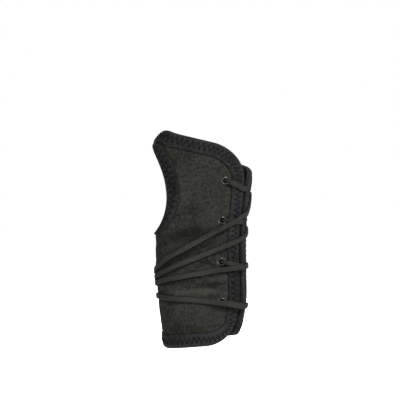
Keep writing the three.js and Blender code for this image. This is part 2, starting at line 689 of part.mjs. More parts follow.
// The tab's side profile along the pattern, repeated at a few heights
function tabGeometry() {
  const base = GAP;
  const top = base + TAB_TOP;
  const slim = base + TAB_SLIM;
  const along = (from, to, count, n) => spread(from, to, count, even).map((u) => ({ u, n }));
  const { mouth, shoulder, pull } = TAB_COLUMNS;
  const profile = [
    ...along(TAB.mouth, TAB.throat, mouth, top), ...along(TAB.throat, TAB.shoulder, shoulder, top),
    ...along(TAB.shoulder, TAB.end, pull, slim), { u: TAB.end, n: slim },
    ...along(TAB.end, TAB.shoulder, pull, base), ...along(TAB.shoulder, TAB.throat, shoulder, base),
    ...along(TAB.throat, TAB.mouth, mouth, base), { u: TAB.mouth, n: base },
    ...along(TAB.mouth, TAB.throat, mouth, base + TAB.leaf), { u: TAB.throat, n: base + TAB.leaf },
    ...along(TAB.throat, TAB.mouth, mouth, top - TAB.leaf), { u: TAB.mouth, n: top - TAB.leaf },
  ];
  const rings = Array.from({ length: TAB_Z.rows + 1 }, (_, i) => {
    const z = TAB_Z.middle + TAB_Z.half * ((2 * i) / TAB_Z.rows - 1);
    return profile.map(({ u, n }) => place(u, z, n));
  });
  const soup = new Soup();
  for (let i = 0; i + 1 < rings.length; i += 1) {
    for (let k = 0; k < profile.length; k += 1) {
      const m = (k + 1) % profile.length;
      soup.quad(rings[i][k], rings[i][m], rings[i + 1][m], rings[i + 1][k]);
    }
  }
  const cap = (ring, flip) => {
    const outline = ring.map((p) => new THREE.Vector2(p.x, p.y));
    for (const [a, b, c] of THREE.ShapeUtils.triangulateShape(outline, [])) {
      if (flip) soup.triangle(ring[c], ring[b], ring[a]);
      else soup.triangle(ring[a], ring[b], ring[c]);
    }
  };
  cap(rings[0], false);
  cap(rings[rings.length - 1], true);
  return soup.geometry();
}

// Turns a closed geometry so that its faces point out
function facingOut(geometry) {
  const p = geometry.getAttribute("position");
  const index = geometry.index.array;
  const [a, b, c] = [new THREE.Vector3(), new THREE.Vector3(), new THREE.Vector3()];
  let volume = 0;
  for (let i = 0; i < index.length; i += 3) {
    a.fromBufferAttribute(p, index[i]);
    b.fromBufferAttribute(p, index[i + 1]);
    c.fromBufferAttribute(p, index[i + 2]);
    volume += a.dot(b.cross(c)) / 6;
  }
  if (volume < 0) {
    for (let i = 0; i < index.length; i += 3) {
      [index[i], index[i + 1]] = [index[i + 1], index[i]];
    }
  }
  return shaded(geometry);
}
function mesh(name, geometry, look) {
  const body = new THREE.Mesh(facingOut(geometry), new THREE.MeshStandardMaterial(look));
  body.name = name;
  return body;
}

const brace = new THREE.Group();
brace.add(mesh("wrap", wrapGeometry(), CANVAS));
brace.add(mesh("edge_binding", tapeGeometry(edgeLoop(), edgeWidth), WEBBING));
brace.add(mesh("thumb_binding", tapeGeometry(holeLoop(), holeWidth), WEBBING));
for (const spot of eyeletSpots) {
  const eyelet = mesh(spot.name, eyeletGeometry(), GUNMETAL);
  const { position, turn } = eyeletPose(spot);
  eyelet.position.copy(position);
  eyelet.quaternion.copy(turn);
  brace.add(eyelet);
}
brace.add(mesh("upper_lace", laceGeometry(UPPER_ROUTE), BRAID));
brace.add(mesh("lower_lace", laceGeometry(LOWER_ROUTE), BRAID));
brace.add(mesh("lace_tab", tabGeometry(), WEBBING));

export default brace;
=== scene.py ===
# %% [markdown]
# # A lace-up wrist brace
# The real brace is one panel of black canvas, bound with folded tape and drawn shut by two flat laces
# that run through metal eyelets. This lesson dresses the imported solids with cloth, tape, thread, braid
# and metal. Every place below is a spot on the flat pattern of the panel, in millimetres, as a maker
# would chalk it, and one function wraps that spot onto the worn form.

# %% Load the fixed frame
import math
from collections import namedtuple

import bpy
import numpy as np
from mathutils import Matrix, Vector


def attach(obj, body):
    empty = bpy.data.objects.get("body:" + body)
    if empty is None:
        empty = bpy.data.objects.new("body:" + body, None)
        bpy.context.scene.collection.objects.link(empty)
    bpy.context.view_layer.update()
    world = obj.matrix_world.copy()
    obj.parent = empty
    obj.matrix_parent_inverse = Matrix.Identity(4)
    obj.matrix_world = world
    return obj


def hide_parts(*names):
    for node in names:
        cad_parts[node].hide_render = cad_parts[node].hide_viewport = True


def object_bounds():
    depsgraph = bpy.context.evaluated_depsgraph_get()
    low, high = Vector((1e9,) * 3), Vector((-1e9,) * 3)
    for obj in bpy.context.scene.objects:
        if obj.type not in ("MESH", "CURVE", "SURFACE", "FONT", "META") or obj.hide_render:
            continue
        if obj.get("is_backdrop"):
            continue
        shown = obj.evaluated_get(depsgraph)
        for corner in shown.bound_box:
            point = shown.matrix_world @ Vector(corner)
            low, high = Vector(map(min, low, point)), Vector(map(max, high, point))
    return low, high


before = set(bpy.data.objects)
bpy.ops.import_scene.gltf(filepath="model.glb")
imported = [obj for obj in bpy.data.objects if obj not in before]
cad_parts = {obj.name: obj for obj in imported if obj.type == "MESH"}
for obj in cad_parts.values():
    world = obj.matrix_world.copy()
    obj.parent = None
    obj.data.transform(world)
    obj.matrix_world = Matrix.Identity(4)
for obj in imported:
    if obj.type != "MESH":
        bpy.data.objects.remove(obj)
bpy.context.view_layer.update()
MM = 0.001


def drop_selection():
    """An operator acts on all that is selected, so each new piece starts with nothing selected."""
    bpy.ops.object.select_all(action="DESELECT")


print("nodes in the frame:", sorted(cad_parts))

# %% [markdown]
# ## Camera
# The picture looks level at the palm side from about a metre and a half. It could be matched by eye, but
# the brace's known height gives the size of one picture cell, so the lens follows from two lengths.

# %% The camera at the picture's angle
PICTURE = 400
CELL = 0.931
DISTANCE = 1500.0
SENSOR = 36.0
CAMERA_X, CAMERA_Z = -1.86, 34.4
drop_selection()
bpy.ops.object.camera_add(location=(CAMERA_X * MM, -DISTANCE * MM, CAMERA_Z * MM),
                          rotation=(math.pi / 2, 0, 0))
camera = bpy.context.object
camera.data.sensor_width = SENSOR
camera.data.lens = SENSOR * DISTANCE / (PICTURE * CELL)
bpy.context.scene.camera = camera
print("lens", round(camera.data.lens, 1), "mm")

# %% [markdown]
# ## The worn form
# The brace is shown as it is worn, filled out and laced shut. The form could be sculpted, but a short
# table of level sections is easier to correct: each row has the thumb side, the slit side, half the
# depth, and how far the two edges of the slit lie from the outermost line. Each is a squarish oval.

# %% Level sections of the form
Section = namedtuple("Section", "z thumb outer depth palm_cut flap_cut")
FORM = [
    Section(-114, -34.2, 28.0, 27.5, 17.0, 11.0), Section(-100, -35.2, 30.6, 27.5, 17.2, 11.0),
    Section(-87, -36.8, 34.2, 27.0, 17.6, 11.2), Section(-72, -39.0, 38.3, 26.0, 17.4, 12.6),
    Section(-55, -40.4, 40.4, 25.0, 16.0, 12.2), Section(-31, -42.4, 40.0, 23.5, 15.0, 11.4),
    Section(0, -42.8, 39.8, 22.5, 14.2, 10.6), Section(18, -43.2, 40.6, 22.5, 13.6, 10.0),
    Section(34, -43.6, 42.8, 22.5, 13.6, 10.0), Section(53, -44.2, 45.0, 22.0, 14.0, 10.2),
    Section(80, -44.7, 46.6, 21.5, 14.2, 10.2), Section(100, -40.2, 46.8, 21.5, 14.2, 10.2),
    Section(114, -36.5, 47.0, 21.0, 14.2, 10.2),
]


def form_column(name, z):
    """One column of the form table as a smooth curve over the height."""
    knots = np.array([row.z for row in FORM], float)
    values = np.array([getattr(row, name) for row in FORM], float)
    order = np.arange(len(FORM))
    before, after = np.maximum(order - 1, 0), np.minimum(order + 1, len(FORM) - 1)
    slopes = (values[after] - values[before]) / (knots[after] - knots[before])
    i = np.clip(np.searchsorted(knots, z) - 1, 0, len(FORM) - 2)
    span = knots[i + 1] - knots[i]
    t = (z - knots[i]) / span
    start = (1 + 2 * t) * (1 - t) ** 2
    bend = t * (1 - t) ** 2 * slopes[i] + t * t * (t - 1) * slopes[i + 1]
    return start * values[i] + (1 - start) * values[i + 1] + span * bend


print("form of", len(FORM), "sections over", FORM[-1].z - FORM[0].z, "mm")


# %% Sections with points evenly round them
FLATNESS = 2.6
LEVEL_STEP, LEVEL_MARGIN = 0.5, 4.0
LEVELS = np.arange(FORM[0].z - LEVEL_MARGIN, FORM[-1].z + LEVEL_MARGIN, LEVEL_STEP)
ROUND_STEPS, ROUND_SHARES = 480, 1440
SHARES = np.linspace(0, 1, ROUND_SHARES + 1)


def squarish(wave, flatness):
    """The wave of a circle changed to that of a squarish oval; a flatness of 2 keeps it round."""
    return np.sign(wave) * np.abs(wave) ** (2 / flatness)


def run_along(points):
    """Length covered at each point of a line."""
    return np.concatenate([[0], np.cumsum(np.linalg.norm(np.diff(points, axis=0), axis=1))])


def make_sections():
    """Every level section, resampled so that its points lie evenly round it."""
    angle = np.linspace(0, 2 * math.pi, ROUND_STEPS + 1)
    thumb, outer, depth = (form_column(k, LEVELS)[:, None] for k in ("thumb", "outer", "depth"))
    xs = (thumb + outer) / 2 - squarish(np.cos(angle), FLATNESS) * (outer - thumb) / 2
    ys = -depth * np.sin(angle)
    runs = [run_along(np.stack(section, axis=1)) for section in zip(xs, ys)]
    girth = np.array([run[-1] for run in runs])
    even = [[np.interp(SHARES * run[-1], run, row) for run, row in zip(runs, side)] for side in (xs, ys)]
    return girth, np.array(even)


GIRTH, ROUND = make_sections()
print("girth at the wrist", round(float(np.interp(0, LEVELS, GIRTH)), 1), "mm")

# %% [markdown]
# ## From the flat pattern to the form
# U runs across the panel from the thumb line, positive over the palm and negative over the back. Z runs
# up the brace, and N is the height over the cloth. Cloth could be draped by simulation, but a laced brace
# is stretched smooth, so wrapping the pattern directly keeps tape, thread and lace in their places.

# %% Wrap a pattern place onto the form
PALM_EDGE, BACK_EDGE = 90.0, 115.0
PROBE, TINY = 0.8, 0.001
Fold = namedtuple("Fold", "u z turn length width height")
FOLDS = [
    Fold(26, -3, 20, 18, 10, 0.7), Fold(50, -9, 25, 30, 10, -0.6), Fold(34, -49, 5, 20, 9, 0.6),
    Fold(58, -46, -6, 17, 9, 0.5), Fold(40, -80, 5, 26, 11, -0.5), Fold(-60, 10, -15, 34, 12, 0.7),
]


def bell(share):
    """A soft hump: 1 at its middle and nearly nothing two shares away."""
    return np.exp(-(share ** 2))


def fold_height(u, z, folds):
    """Height of a table of soft folds at pattern places."""
    height = np.zeros(np.broadcast(u, z).shape)
    for fold in folds:
        turn = math.radians(fold.turn)
        along = (u - fold.u) * math.cos(turn) + (z - fold.z) * math.sin(turn)
        over = (z - fold.z) * math.cos(turn) - (u - fold.u) * math.sin(turn)
        height = height + fold.height * bell(along / fold.length) * bell(over / fold.width)
    return height


def on_form(run, z):
    """Point at a run round the section and a height."""
    level = np.clip((z - LEVELS[0]) / LEVEL_STEP, 0, len(LEVELS) - 1 - TINY)
    i = level.astype(int)
    ends = []
    for row in (i, i + 1):
        share = np.mod(run / GIRTH[row], 1) * (len(SHARES) - 1)
        j = np.minimum(share.astype(int), len(SHARES) - 2)
        ends.append(ROUND[:, row, j] * (1 - (share - j)) + ROUND[:, row, j + 1] * (share - j))
    x, y = ends[0] * (1 - (level - i)) + ends[1] * (level - i)
    return np.stack([x, y, z], axis=-1)


def run_at(u, z):
    """Run round the section for a pattern place; past the palm edge it crosses the slit."""
    half = np.interp(z, LEVELS, GIRTH) / 2
    palm_reach = half - form_column("palm_cut", z)
    back_reach = half + form_column("flap_cut", z)
    palm = np.where(u > PALM_EDGE, palm_reach + (u - PALM_EDGE), u * palm_reach / PALM_EDGE)
    return np.where(u >= 0, palm, u * back_reach / BACK_EDGE)


def normal_at(u, z):
    """Direction straight out of the form at pattern places."""
    run = run_at(u, z)
    across = on_form(run + PROBE, z) - on_form(run - PROBE, z)
    along = on_form(run, z + PROBE) - on_form(run, z - PROBE)
    out = np.cross(across, along)
    return out / np.linalg.norm(out, axis=-1, keepdims=True)


def place(u, z, n):
    """Points, in millimetres, at pattern places and heights over the cloth."""
    u, z, n = (np.array(v, float) for v in np.broadcast_arrays(u, z, n))
    lift = n + fold_height(u, z, FOLDS)
    return on_form(run_at(u, z), z) + normal_at(u, z) * lift[..., None]


print("thumb line at mid height:", place(0.0, 0.0, 0.0).round(1))

# %% [markdown]
# ## The laces first
# Two flat braided laces draw the brace shut. Each starts in the pull tab on the back, comes round the
# thumb side and over the palm to the slit, goes through four eyelets and returns to the tab. A bevelled
# curve would give a smooth tube, but a flat braid has a chevron relief, so each lace is a grid rolled
# round its route, whose rows are places on the pattern with a height and a share of pinching.

# %% Stops that all strands share
WALL, GAP, SEAT = 2.6, 0.3, 1.25
LACE_WIDTH, LACE_HEIGHT, LACE_PINCH, LACE_REST = 4.6, 2.2, 1.15, 0.2
ON_CANVAS = LACE_REST + LACE_HEIGHT / 2
ON_TAPE = SEAT + ON_CANVAS
OVER_LACE = ON_TAPE + LACE_HEIGHT + GAP
UNDER_CANVAS, UNDER_TAPE = -WALL - ON_CANVAS, -WALL - ON_TAPE
IN_BORE, BORE_UP, TURN_UP = -WALL / 2, 1.3, 3.1
BORE_DOWN, TURN_DOWN = -WALL - BORE_UP - GAP, -WALL - TURN_UP - GAP
SLIT_WIDTH = 3.7
SLIT = PALM_EDGE + SLIT_WIDTH / 2
EYELET_INSET = 18.7
PALM_ROW, BACK_ROW = PALM_EDGE - EYELET_INSET, PALM_EDGE + SLIT_WIDTH + EYELET_INSET
PALM_EYELETS = [52.3, 15.8, -22.3, -58.6]
BACK_EYELETS = [40.0, 8.0, -26.0, -63.0]
TAB_MOUTH, TAB_THROAT, TAB_SHOULDER, TAB_END = -38.0, -47.0, -56.0, -84.0
TAB_LEAF, TAB_LEAD, TAB_STOP = 1.0, 8.0, 1.0
IN_TAB = GAP + TAB_LEAF + ON_CANVAS
Stop = namedtuple("Stop", "u z n round", defaults=[0.0])
Way = namedtuple("Way", "u way n round", defaults=[0.0])
STRAND = [
    Way(PALM_ROW, 0, BORE_DOWN, 1), Way(PALM_ROW, 0, IN_BORE, 1), Way(PALM_ROW, 0, BORE_UP, 1),
    Way(PALM_ROW + 2.4, 0.12, TURN_UP - 0.2, 0.6), Way(PALM_ROW + 6.5, 0.35, ON_TAPE),
    Way(PALM_EDGE - 2.5, 1, ON_TAPE), Way(PALM_EDGE + 0.6, 1, ON_TAPE - 0.1),
    Way(SLIT, 1, ON_TAPE - 1.7), Way(SLIT, 1, IN_BORE), Way(SLIT + 0.2, 1, UNDER_TAPE + 1.6),
    Way(SLIT + 3.2, 1.1, UNDER_TAPE - 0.2), Way(SLIT + 7, 1.35, UNDER_TAPE),
    Way(BACK_ROW - 8, 1.75, UNDER_TAPE), Way(BACK_ROW - 3.2, 1.95, TURN_DOWN, 0.6),
    Way(BACK_ROW, 2, BORE_DOWN, 1), Way(BACK_ROW, 2, IN_BORE, 1), Way(BACK_ROW, 2, BORE_UP, 1),
    Way(BACK_ROW - 1.6, 2, TURN_UP - 0.3, 0.6), Way(BACK_ROW - 5, 2, ON_CANVAS + 0.7),
]
INSIDE = [(2.4, TURN_DOWN, 0.6), (6.5, UNDER_CANVAS, 0.0)]


def strand(palm_z, slit_z, back_z):
    """From a palm eyelet over the bound edge, down the slit and under the flap to a back eyelet."""
    heights = lambda way: float(np.interp(way, [0, 1, 2], [palm_z, slit_z, back_z]))
    return [Stop(row.u, heights(row.way), row.n, row.round) for row in STRAND]


def inside(start, end):
    """The stretch inside the wrap that joins two palm eyelets."""
    way = math.copysign(1, end - start)
    leaving = [Stop(PALM_ROW, start + way * past, n, pinch) for past, n, pinch in INSIDE]
    arriving = [Stop(PALM_ROW, end - way * past, n, pinch) for past, n, pinch in INSIDE]
    return leaving + arriving[::-1]


def to_tab(z):
    """The last stretch on the back, between the leaves of the tab."""
    return [Stop(TAB_MOUTH + TAB_LEAD, z, ON_CANVAS + GAP), Stop(TAB_MOUTH, z, IN_TAB),
            Stop(TAB_THROAT + TAB_STOP, z, IN_TAB)]


print("a strand has", len(STRAND), "stops between its two eyelets")


# %% Route rows of the laces
def lying(*places):
    """Stops of a stretch that lies on the canvas."""
    return [Stop(u, z, ON_CANVAS) for u, z in places]


UPPER_START = [
    Stop(SLIT + 4, 21.8, ON_TAPE), Stop(SLIT - 4, 19.3, ON_TAPE + 1.9),
    Stop(83.5, 16.2, OVER_LACE + 0.3), Stop(76, 11.7, OVER_LACE + 0.4), Stop(70.5, 8.2, ON_TAPE + 1.2),
    *lying((65.5, 5.2), (46.7, -5.4), (23.4, -18.1), (13, -25.2), (0, -31.7)), *to_tab(-37.0),
]
UPPER_END = [
    Stop(SLIT + 4, 1.2, ON_TAPE), Stop(SLIT - 4, -2.8, ON_TAPE), Stop(78, -6.5, ON_TAPE),
    *lying((72, -9.2), (54.1, -16.4), (38.6, -22.5), (21.1, -30.2), (11.2, -34.4), (0, -37.7)),
    *to_tab(-42.4),
]
LOWER_START = [
    Stop(SLIT + 6, -27, ON_TAPE), Stop(SLIT, -27.6, OVER_LACE), Stop(85, -28, OVER_LACE + 0.1),
    Stop(78, -28.8, ON_TAPE + 0.8),
    *lying((70, -29.8), (42.3, -34.6), (20.5, -38.9), (7.6, -41.4), (0, -42.6)), *to_tab(-47.8),
]
LOWER_END = [
    Stop(SLIT + 6, -63.8, ON_TAPE), Stop(SLIT, -63.5, OVER_LACE), Stop(85, -62.7, OVER_LACE + 0.1),
    Stop(73, -60.6, OVER_LACE + 0.5), Stop(66.5, -59.6, ON_TAPE + 0.9),
    *lying((60, -58.8), (43.7, -57.2), (22.2, -56), (11.5, -54.9), (0, -54.2)), *to_tab(-53.2),
]


def lace_route(start, end, rows, slits):
    """One lace from the tab, through two rows of eyelets and back to the tab."""
    first, second = (strand(PALM_EYELETS[r], s, BACK_EYELETS[r]) for r, s in zip(rows, slits))
    middle = inside(PALM_EYELETS[rows[0]], PALM_EYELETS[rows[1]])
    return start[::-1] + first[::-1] + middle + second + end


ROUTES = {
    "upper": lace_route(UPPER_START, UPPER_END, (0, 1), (44.9, 14.2)),
    "lower": lace_route(LOWER_START, LOWER_END, (2, 3), (-26.4, -62.0)),
}
print({name: len(route) for name, route in ROUTES.items()}, "stops")

# %% [markdown]
# ## A smooth line through the stops
# A lace under tension runs straight from touch to touch and turns in short arcs. A curve that passes
# through every stop without overshooting does that, and it is then cut into even steps, because the
# braid repeats at an even pitch.

# %% Even points along a lace
ROUTE_STEP, LACE_STEP, LACE_FINE = 7.0, 0.45, 24


def dense_stops(route):
    """Stops at most a step apart, so that the line follows the curved cloth."""
    rows = [route[0]]
    for last, row in zip(route, route[1:]):
        parts = max(math.ceil(math.hypot(row.u - last.u, row.z - last.z) / ROUTE_STEP), 1)
        for k in range(1, parts + 1):
            t = k / parts
            rows.append(Stop(*(a + (b - a) * t for a, b in zip(last, row))))
    return np.array(rows, float)


def smooth_line(points, values):
    """Centripetal curve through points, as even steps; values are carried along."""
    padded = np.vstack([2 * points[0] - points[1], points, 2 * points[-1] - points[-2]])
    gaps = np.sqrt(np.linalg.norm(np.diff(padded, axis=0), axis=1))
    t = np.linspace(0, 1, LACE_FINE, endpoint=False)[:, None]
    line, carried = [], []
    for i in range(len(points) - 1):
        a, b, c, d = padded[i:i + 4]
        before, here, after = gaps[i:i + 3]
        leave = ((b - a) / before - (c - a) / (before + here) + (c - b) / here) * here
        arrive = ((c - b) / here - (d - b) / (here + after) + (d - c) / after) * here
        line.append(b + leave * t + (3 * (c - b) - 2 * leave - arrive) * t ** 2
                    + (2 * (b - c) + leave + arrive) * t ** 3)
        carried.append(values[i] + (values[i + 1] - values[i]) * t)
    line, carried = np.vstack([*line, points[-1:]]), np.vstack([*carried, values[-1:]])
    run = run_along(line)
    even = np.linspace(0, run[-1], int(run[-1] / LACE_STEP))
    resample = lambda table: np.stack([np.interp(even, run, col) for col in table.T], axis=1)
    return even, resample(line), resample(carried)


print("laces are cut every", LACE_STEP, "mm")

# %% Turn the flat side of each lace to the cloth
LACE_DIVE = 0.5


def square_to(vector, along):
    """The part of a direction that is square to another, at unit length."""
    out = vector - along * np.dot(vector, along)
    return out / np.linalg.norm(out)


def flat_sides(ahead, normals):
    """The lace's flat lies on the cloth; where it dives through, the flat turns evenly in between."""
    ups = [square_to(normals[0], ahead[0])] + [None] * (len(ahead) - 1)
    last = 0
    for i in range(1, len(ahead)):
        if abs(np.dot(ahead[i], normals[i])) > LACE_DIVE:
            continue
        carried = [ups[last]]
        for k in range(last + 1, i + 1):
            carried.append(square_to(carried[-1], ahead[k]))
        target = square_to(normals[i], ahead[i])
        if np.dot(target, carried[-1]) < 0:
            target = -target
        for k in range(i, last, -1):
            share = (k - last) / (i - last)
            ups[k] = square_to(carried[k - last] * (1 - share) + target * share, ahead[k])
            target = square_to(target, ahead[k - 1])
        last = i
    for k in range(last + 1, len(ahead)):
        ups[k] = square_to(ups[k - 1], ahead[k])
    return np.array(ups)


LINES = {}
for name, route in ROUTES.items():
    rows = dense_stops(route)
    run, line, carried = smooth_line(place(rows[:, 0], rows[:, 1], rows[:, 2]), rows)
    ahead = np.gradient(line, axis=0)
    ahead /= np.linalg.norm(ahead, axis=1, keepdims=True)
    ups = flat_sides(ahead, normal_at(carried[:, 0], carried[:, 1]))
    LINES[name] = {"run": run, "line": line, "ahead": ahead, "up": ups, "stops": carried}
    print(name, "lace is", round(run[-1]), "mm long")

# %% [markdown]
# ## One way to lay a grid
# Cloth, tape and braid are all sheets of squares. A grid primitive already has the faces and a clean
# order of corners, so a helper adds one, moves each corner to its place, and welds what meets.

# %% Grid helper
WELD = 1e-6


def pick(piece):
    """Makes one piece the only selected and active object."""
    drop_selection()
    piece.select_set(True)
    bpy.context.view_layer.objects.active = piece


def lay_grid(name, points, pattern, marks=None, open_face=None):
    """A grid whose corners go to points; pattern is its UV map in metres, marks its named values."""
    columns, rows = points.shape[:2]
    drop_selection()
    bpy.ops.mesh.primitive_grid_add(x_subdivisions=columns - 1, y_subdivisions=rows - 1, size=2)
    piece = bpy.context.object
    piece.name = piece.data.name = name
    mesh = piece.data
    flat = np.zeros(len(mesh.vertices) * 3)
    mesh.vertices.foreach_get("co", flat)
    flat = flat.reshape(-1, 3)
    i = np.rint((flat[:, 0] + 1) / 2 * (columns - 1)).astype(int)
    j = np.rint((flat[:, 1] + 1) / 2 * (rows - 1)).astype(int)
    corners = np.zeros(len(mesh.loops), int)
    mesh.loops.foreach_get("vertex_index", corners)
    mesh.uv_layers[0].name = "Pattern"
    mesh.uv_layers["Pattern"].data.foreach_set("uv", pattern[i[corners], j[corners]].ravel())
    mesh.vertices.foreach_set("co", (points[i, j] * MM).ravel())
    for key, values in (marks or {}).items():
        mesh.attributes.new(key, "FLOAT", "POINT").data.foreach_set("value", values[i, j].ravel())
    if open_face is not None:
        cells = corners.reshape(-1, 4)
        for part in (mesh.vertices, mesh.edges):
            part.foreach_set("select", np.zeros(len(part), bool))
        mesh.polygons.foreach_set("select", open_face(i[cells].min(axis=1), j[cells].min(axis=1)))
    mesh.update()
    return piece


print("grid helper ready, welding below", WELD, "m")


# %% Helpers for edit mode and modifiers
def in_edit(piece, *steps):
    """Runs steps on a piece in edit mode; each step selects what it needs."""
    pick(piece)
    bpy.ops.object.mode_set(mode="EDIT")
    for step in steps:
        step()
    bpy.ops.object.mode_set(mode="OBJECT")


def weld():
    bpy.ops.mesh.select_all(action="SELECT")
    bpy.ops.mesh.remove_doubles(threshold=WELD)


def face_out():
    bpy.ops.mesh.select_all(action="SELECT")
    bpy.ops.mesh.normals_make_consistent(inside=False)


def apply(piece, kind, **settings):
    """Adds a modifier with its settings and applies it."""
    pick(piece)
    modifier = piece.modifiers.new(kind.lower(), kind)
    for key, value in settings.items():
        setattr(modifier, key, value)
    bpy.ops.object.modifier_apply(modifier=modifier.name)


def smooth(piece):
    pick(piece)
    bpy.ops.object.shade_smooth()
    return piece


print("helpers ready")

# %% [markdown]
# ## Braided laces
# A flat braid is wider than high, with strands that cross in chevrons on both faces and a shallow groove
# where they meet. Single strands could be swept, at a great cost in faces. Here the roll of the grid is
# raised and lowered in a chevron, which shows the same relief at the size that the eye can see.

# %% Roll the two laces
BRAID_SIDES = 20
BRAID_PITCH, BRAID_SLANT, BRAID_RELIEF, BRAID_GROOVE = 2.1, 0.85, 0.11, 0.14
BRAID_SQUARE, GROOVE_WIDTH, PINCH_FLAT, SIDE_RELIEF = 3.2, 0.16, 0.6, 0.6
LIT_MOST_AT, LIT_REACH, OFF_MIDDLE_SHADE, PINCH_SHADE = 48.0, 90.0, 0.55, 0.9


def close_ends():
    """Fills the two open ends of a roll."""
    bpy.ops.mesh.select_all(action="DESELECT")
    bpy.ops.mesh.select_mode(type="EDGE")
    bpy.ops.mesh.select_non_manifold(extend=False)
    bpy.ops.mesh.fill_holes(sides=0)
    bpy.ops.mesh.select_mode(type="VERT")


def roll_lace(name, data):
    turn = np.linspace(0, 2 * math.pi, BRAID_SIDES + 1)
    side, lift = (squarish(wave, BRAID_SQUARE) for wave in (np.cos(turn), np.sin(turn)))
    side[-1], lift[-1] = side[0], lift[0]
    pinch = data["stops"][:, 3][:, None]
    wide = LACE_WIDTH / 2 * (1 - pinch) + LACE_PINCH * pinch
    high = LACE_HEIGHT / 2 * (1 - pinch) + LACE_PINCH * pinch
    chevron = np.cos(2 * math.pi * (data["run"][:, None] / BRAID_PITCH + BRAID_SLANT * np.abs(side)))
    groove = bell(side / GROOVE_WIDTH) * np.abs(lift)
    relief = (BRAID_RELIEF * chevron - BRAID_GROOVE * groove) * (1 - PINCH_FLAT * pinch)
    across = np.cross(data["ahead"], data["up"])
    sideways = across[:, None, :] * ((wide + relief * SIDE_RELIEF) * side)[..., None]
    upwards = data["up"][:, None, :] * ((high + relief) * lift)[..., None]
    points = data["line"][:, None, :] + sideways + upwards
    along = np.broadcast_to(data["run"][:, None] * MM, points.shape[:2])
    around = np.broadcast_to(turn / (2 * math.pi), points.shape[:2])
    # Painted shade: the braid is darker away from the middle of the palm and where it is pinched into the
    # eyelets.
    lit_share = 1 - np.abs(data["stops"][:, :1] - LIT_MOST_AT) / LIT_REACH
    dark = PINCH_SHADE * pinch + OFF_MIDDLE_SHADE * (1 - np.clip(lit_share, 0, 1))
    piece = lay_grid(name, points, np.stack([along, around], axis=-1),
                     {"Dark": np.broadcast_to(dark, points.shape[:2])})
    in_edit(piece, weld, close_ends, face_out)
    return smooth(piece)


laces = {}
for name in ROUTES:
    laces[name] = roll_lace(f"{name}_lace_braid", LINES[name])
    print(laces[name].name, len(laces[name].data.polygons), "faces")

# %% [markdown]
# ## The edges of the panel
# The pattern has a bow at the thumb web, rounded corners beside the slit and an egg-shaped thumb hole.
# They could be traced as loose points, but each edge is one line with a slope, a bow and a quarter of an
# ellipse, so the same few numbers draw the canvas and the tape that closes over it.

# %% Draw the pattern's edges
Half = namedtuple("Half", "edge top_slope top_bow top_run top_drop bottom_slope bottom_run bottom_rise web")
PALM = Half(PALM_EDGE, 0.245, 0.0, 30, 27, 0.071, 28, 21, 9)
BACK = Half(BACK_EDGE, 0.512, 0.0014, 22, 18, 0.126, 22, 17, 18)
TOP_AT_THUMB, BOTTOM_AT_THUMB, RIDGE_ROUND = 100.7, -103.5, 6.0
WEB_DIP, CUFF_RISE, CUFF_REACH = 8.5, 3.0, 10.0
TIP_U, TIP_REACH, TIP_RISE = 15.0, 8.0, 1.2
HOLE_HALF, HOLE_MID, HOLE_UP, HOLE_DOWN = 19.4, 36.0, 44.5, 30.5
HOLE_FOOT, HOLE_SHOULDER, HOLE_CROWN = 2.0, 1.6, 1.75
CURVE_STEPS = 1440


def by_half(u, name):
    """One value of the palm half or the back half, by the side of the thumb line."""
    return np.where(u >= 0, getattr(PALM, name), getattr(BACK, name))


def corner_share(u, edge, run):
    """How far a rounded corner has turned, from 0 where it starts to 1 at the edge."""
    t = np.clip((np.abs(u) - (edge - run)) / run, 0, 1)
    return 1 - np.sqrt(1 - t * t)


def ridge(u):
    return np.hypot(u, RIDGE_ROUND) - RIDGE_ROUND


def top_at(u):
    line = TOP_AT_THUMB - by_half(u, "top_slope") * ridge(u) + by_half(u, "top_bow") * ridge(u) ** 2
    tip = TIP_RISE * bell((u - TIP_U) / TIP_REACH)
    dip = WEB_DIP * bell(u / by_half(u, "web"))
    share = corner_share(u, by_half(u, "edge"), by_half(u, "top_run"))
    return line + tip - dip - by_half(u, "top_drop") * share


def bottom_at(u):
    line = BOTTOM_AT_THUMB + by_half(u, "bottom_slope") * ridge(u)
    rise = CUFF_RISE * bell(u / CUFF_REACH)
    share = corner_share(u, by_half(u, "edge"), by_half(u, "bottom_run"))
    return line + rise + by_half(u, "bottom_rise") * share


def hole_at(angle):
    c, s = np.cos(angle), np.sin(angle)
    u = HOLE_HALF * squarish(c, np.where(s > 0, HOLE_SHOULDER, HOLE_FOOT))
    z = HOLE_MID + np.where(s > 0, HOLE_UP * squarish(s, HOLE_CROWN), HOLE_DOWN * s)
    return np.stack([u, z], axis=-1)


def left_of(ahead):
    return np.stack([-ahead[:, 1], ahead[:, 0]], axis=1)


def inset(curve, margin):
    """A curve moved to its left by a margin."""
    left = left_of(np.gradient(curve, axis=0))
    return curve + left * margin / np.linalg.norm(left, axis=1, keepdims=True)


def height_on(curve, u):
    """Height of a curve over places across the panel."""
    order = np.argsort(curve[:, 0])
    return np.interp(u, curve[order, 0], curve[order, 1])


PANEL_WIDTH = PALM_EDGE + BACK_EDGE
half_turn = np.linspace(0, math.pi, CURVE_STEPS + 1)
sweep_u = (PALM_EDGE - BACK_EDGE) / 2 - np.cos(half_turn) * PANEL_WIDTH / 2
BOTTOM_CURVE = np.stack([sweep_u, bottom_at(sweep_u)], axis=1)
TOP_CURVE = np.stack([sweep_u, top_at(sweep_u)], axis=1)[::-1]
HOLE_TOP_CURVE, HOLE_BOTTOM_CURVE = hole_at(half_turn[::-1]), hole_at(-half_turn)
print("panel is", PANEL_WIDTH, "mm wide, its top falls by", round(float(np.ptp(TOP_CURVE[:, 1]))), "mm")

# %% [markdown]
# ## Where the binding runs
# One tape goes round the whole outer edge and another round the thumb hole. Each could be drawn as a new
# curve, but both edges are already there, so they are cut into even steps with a direction inwards. Above
# the hole the two tapes share the little room that there is, and each narrows to fit.

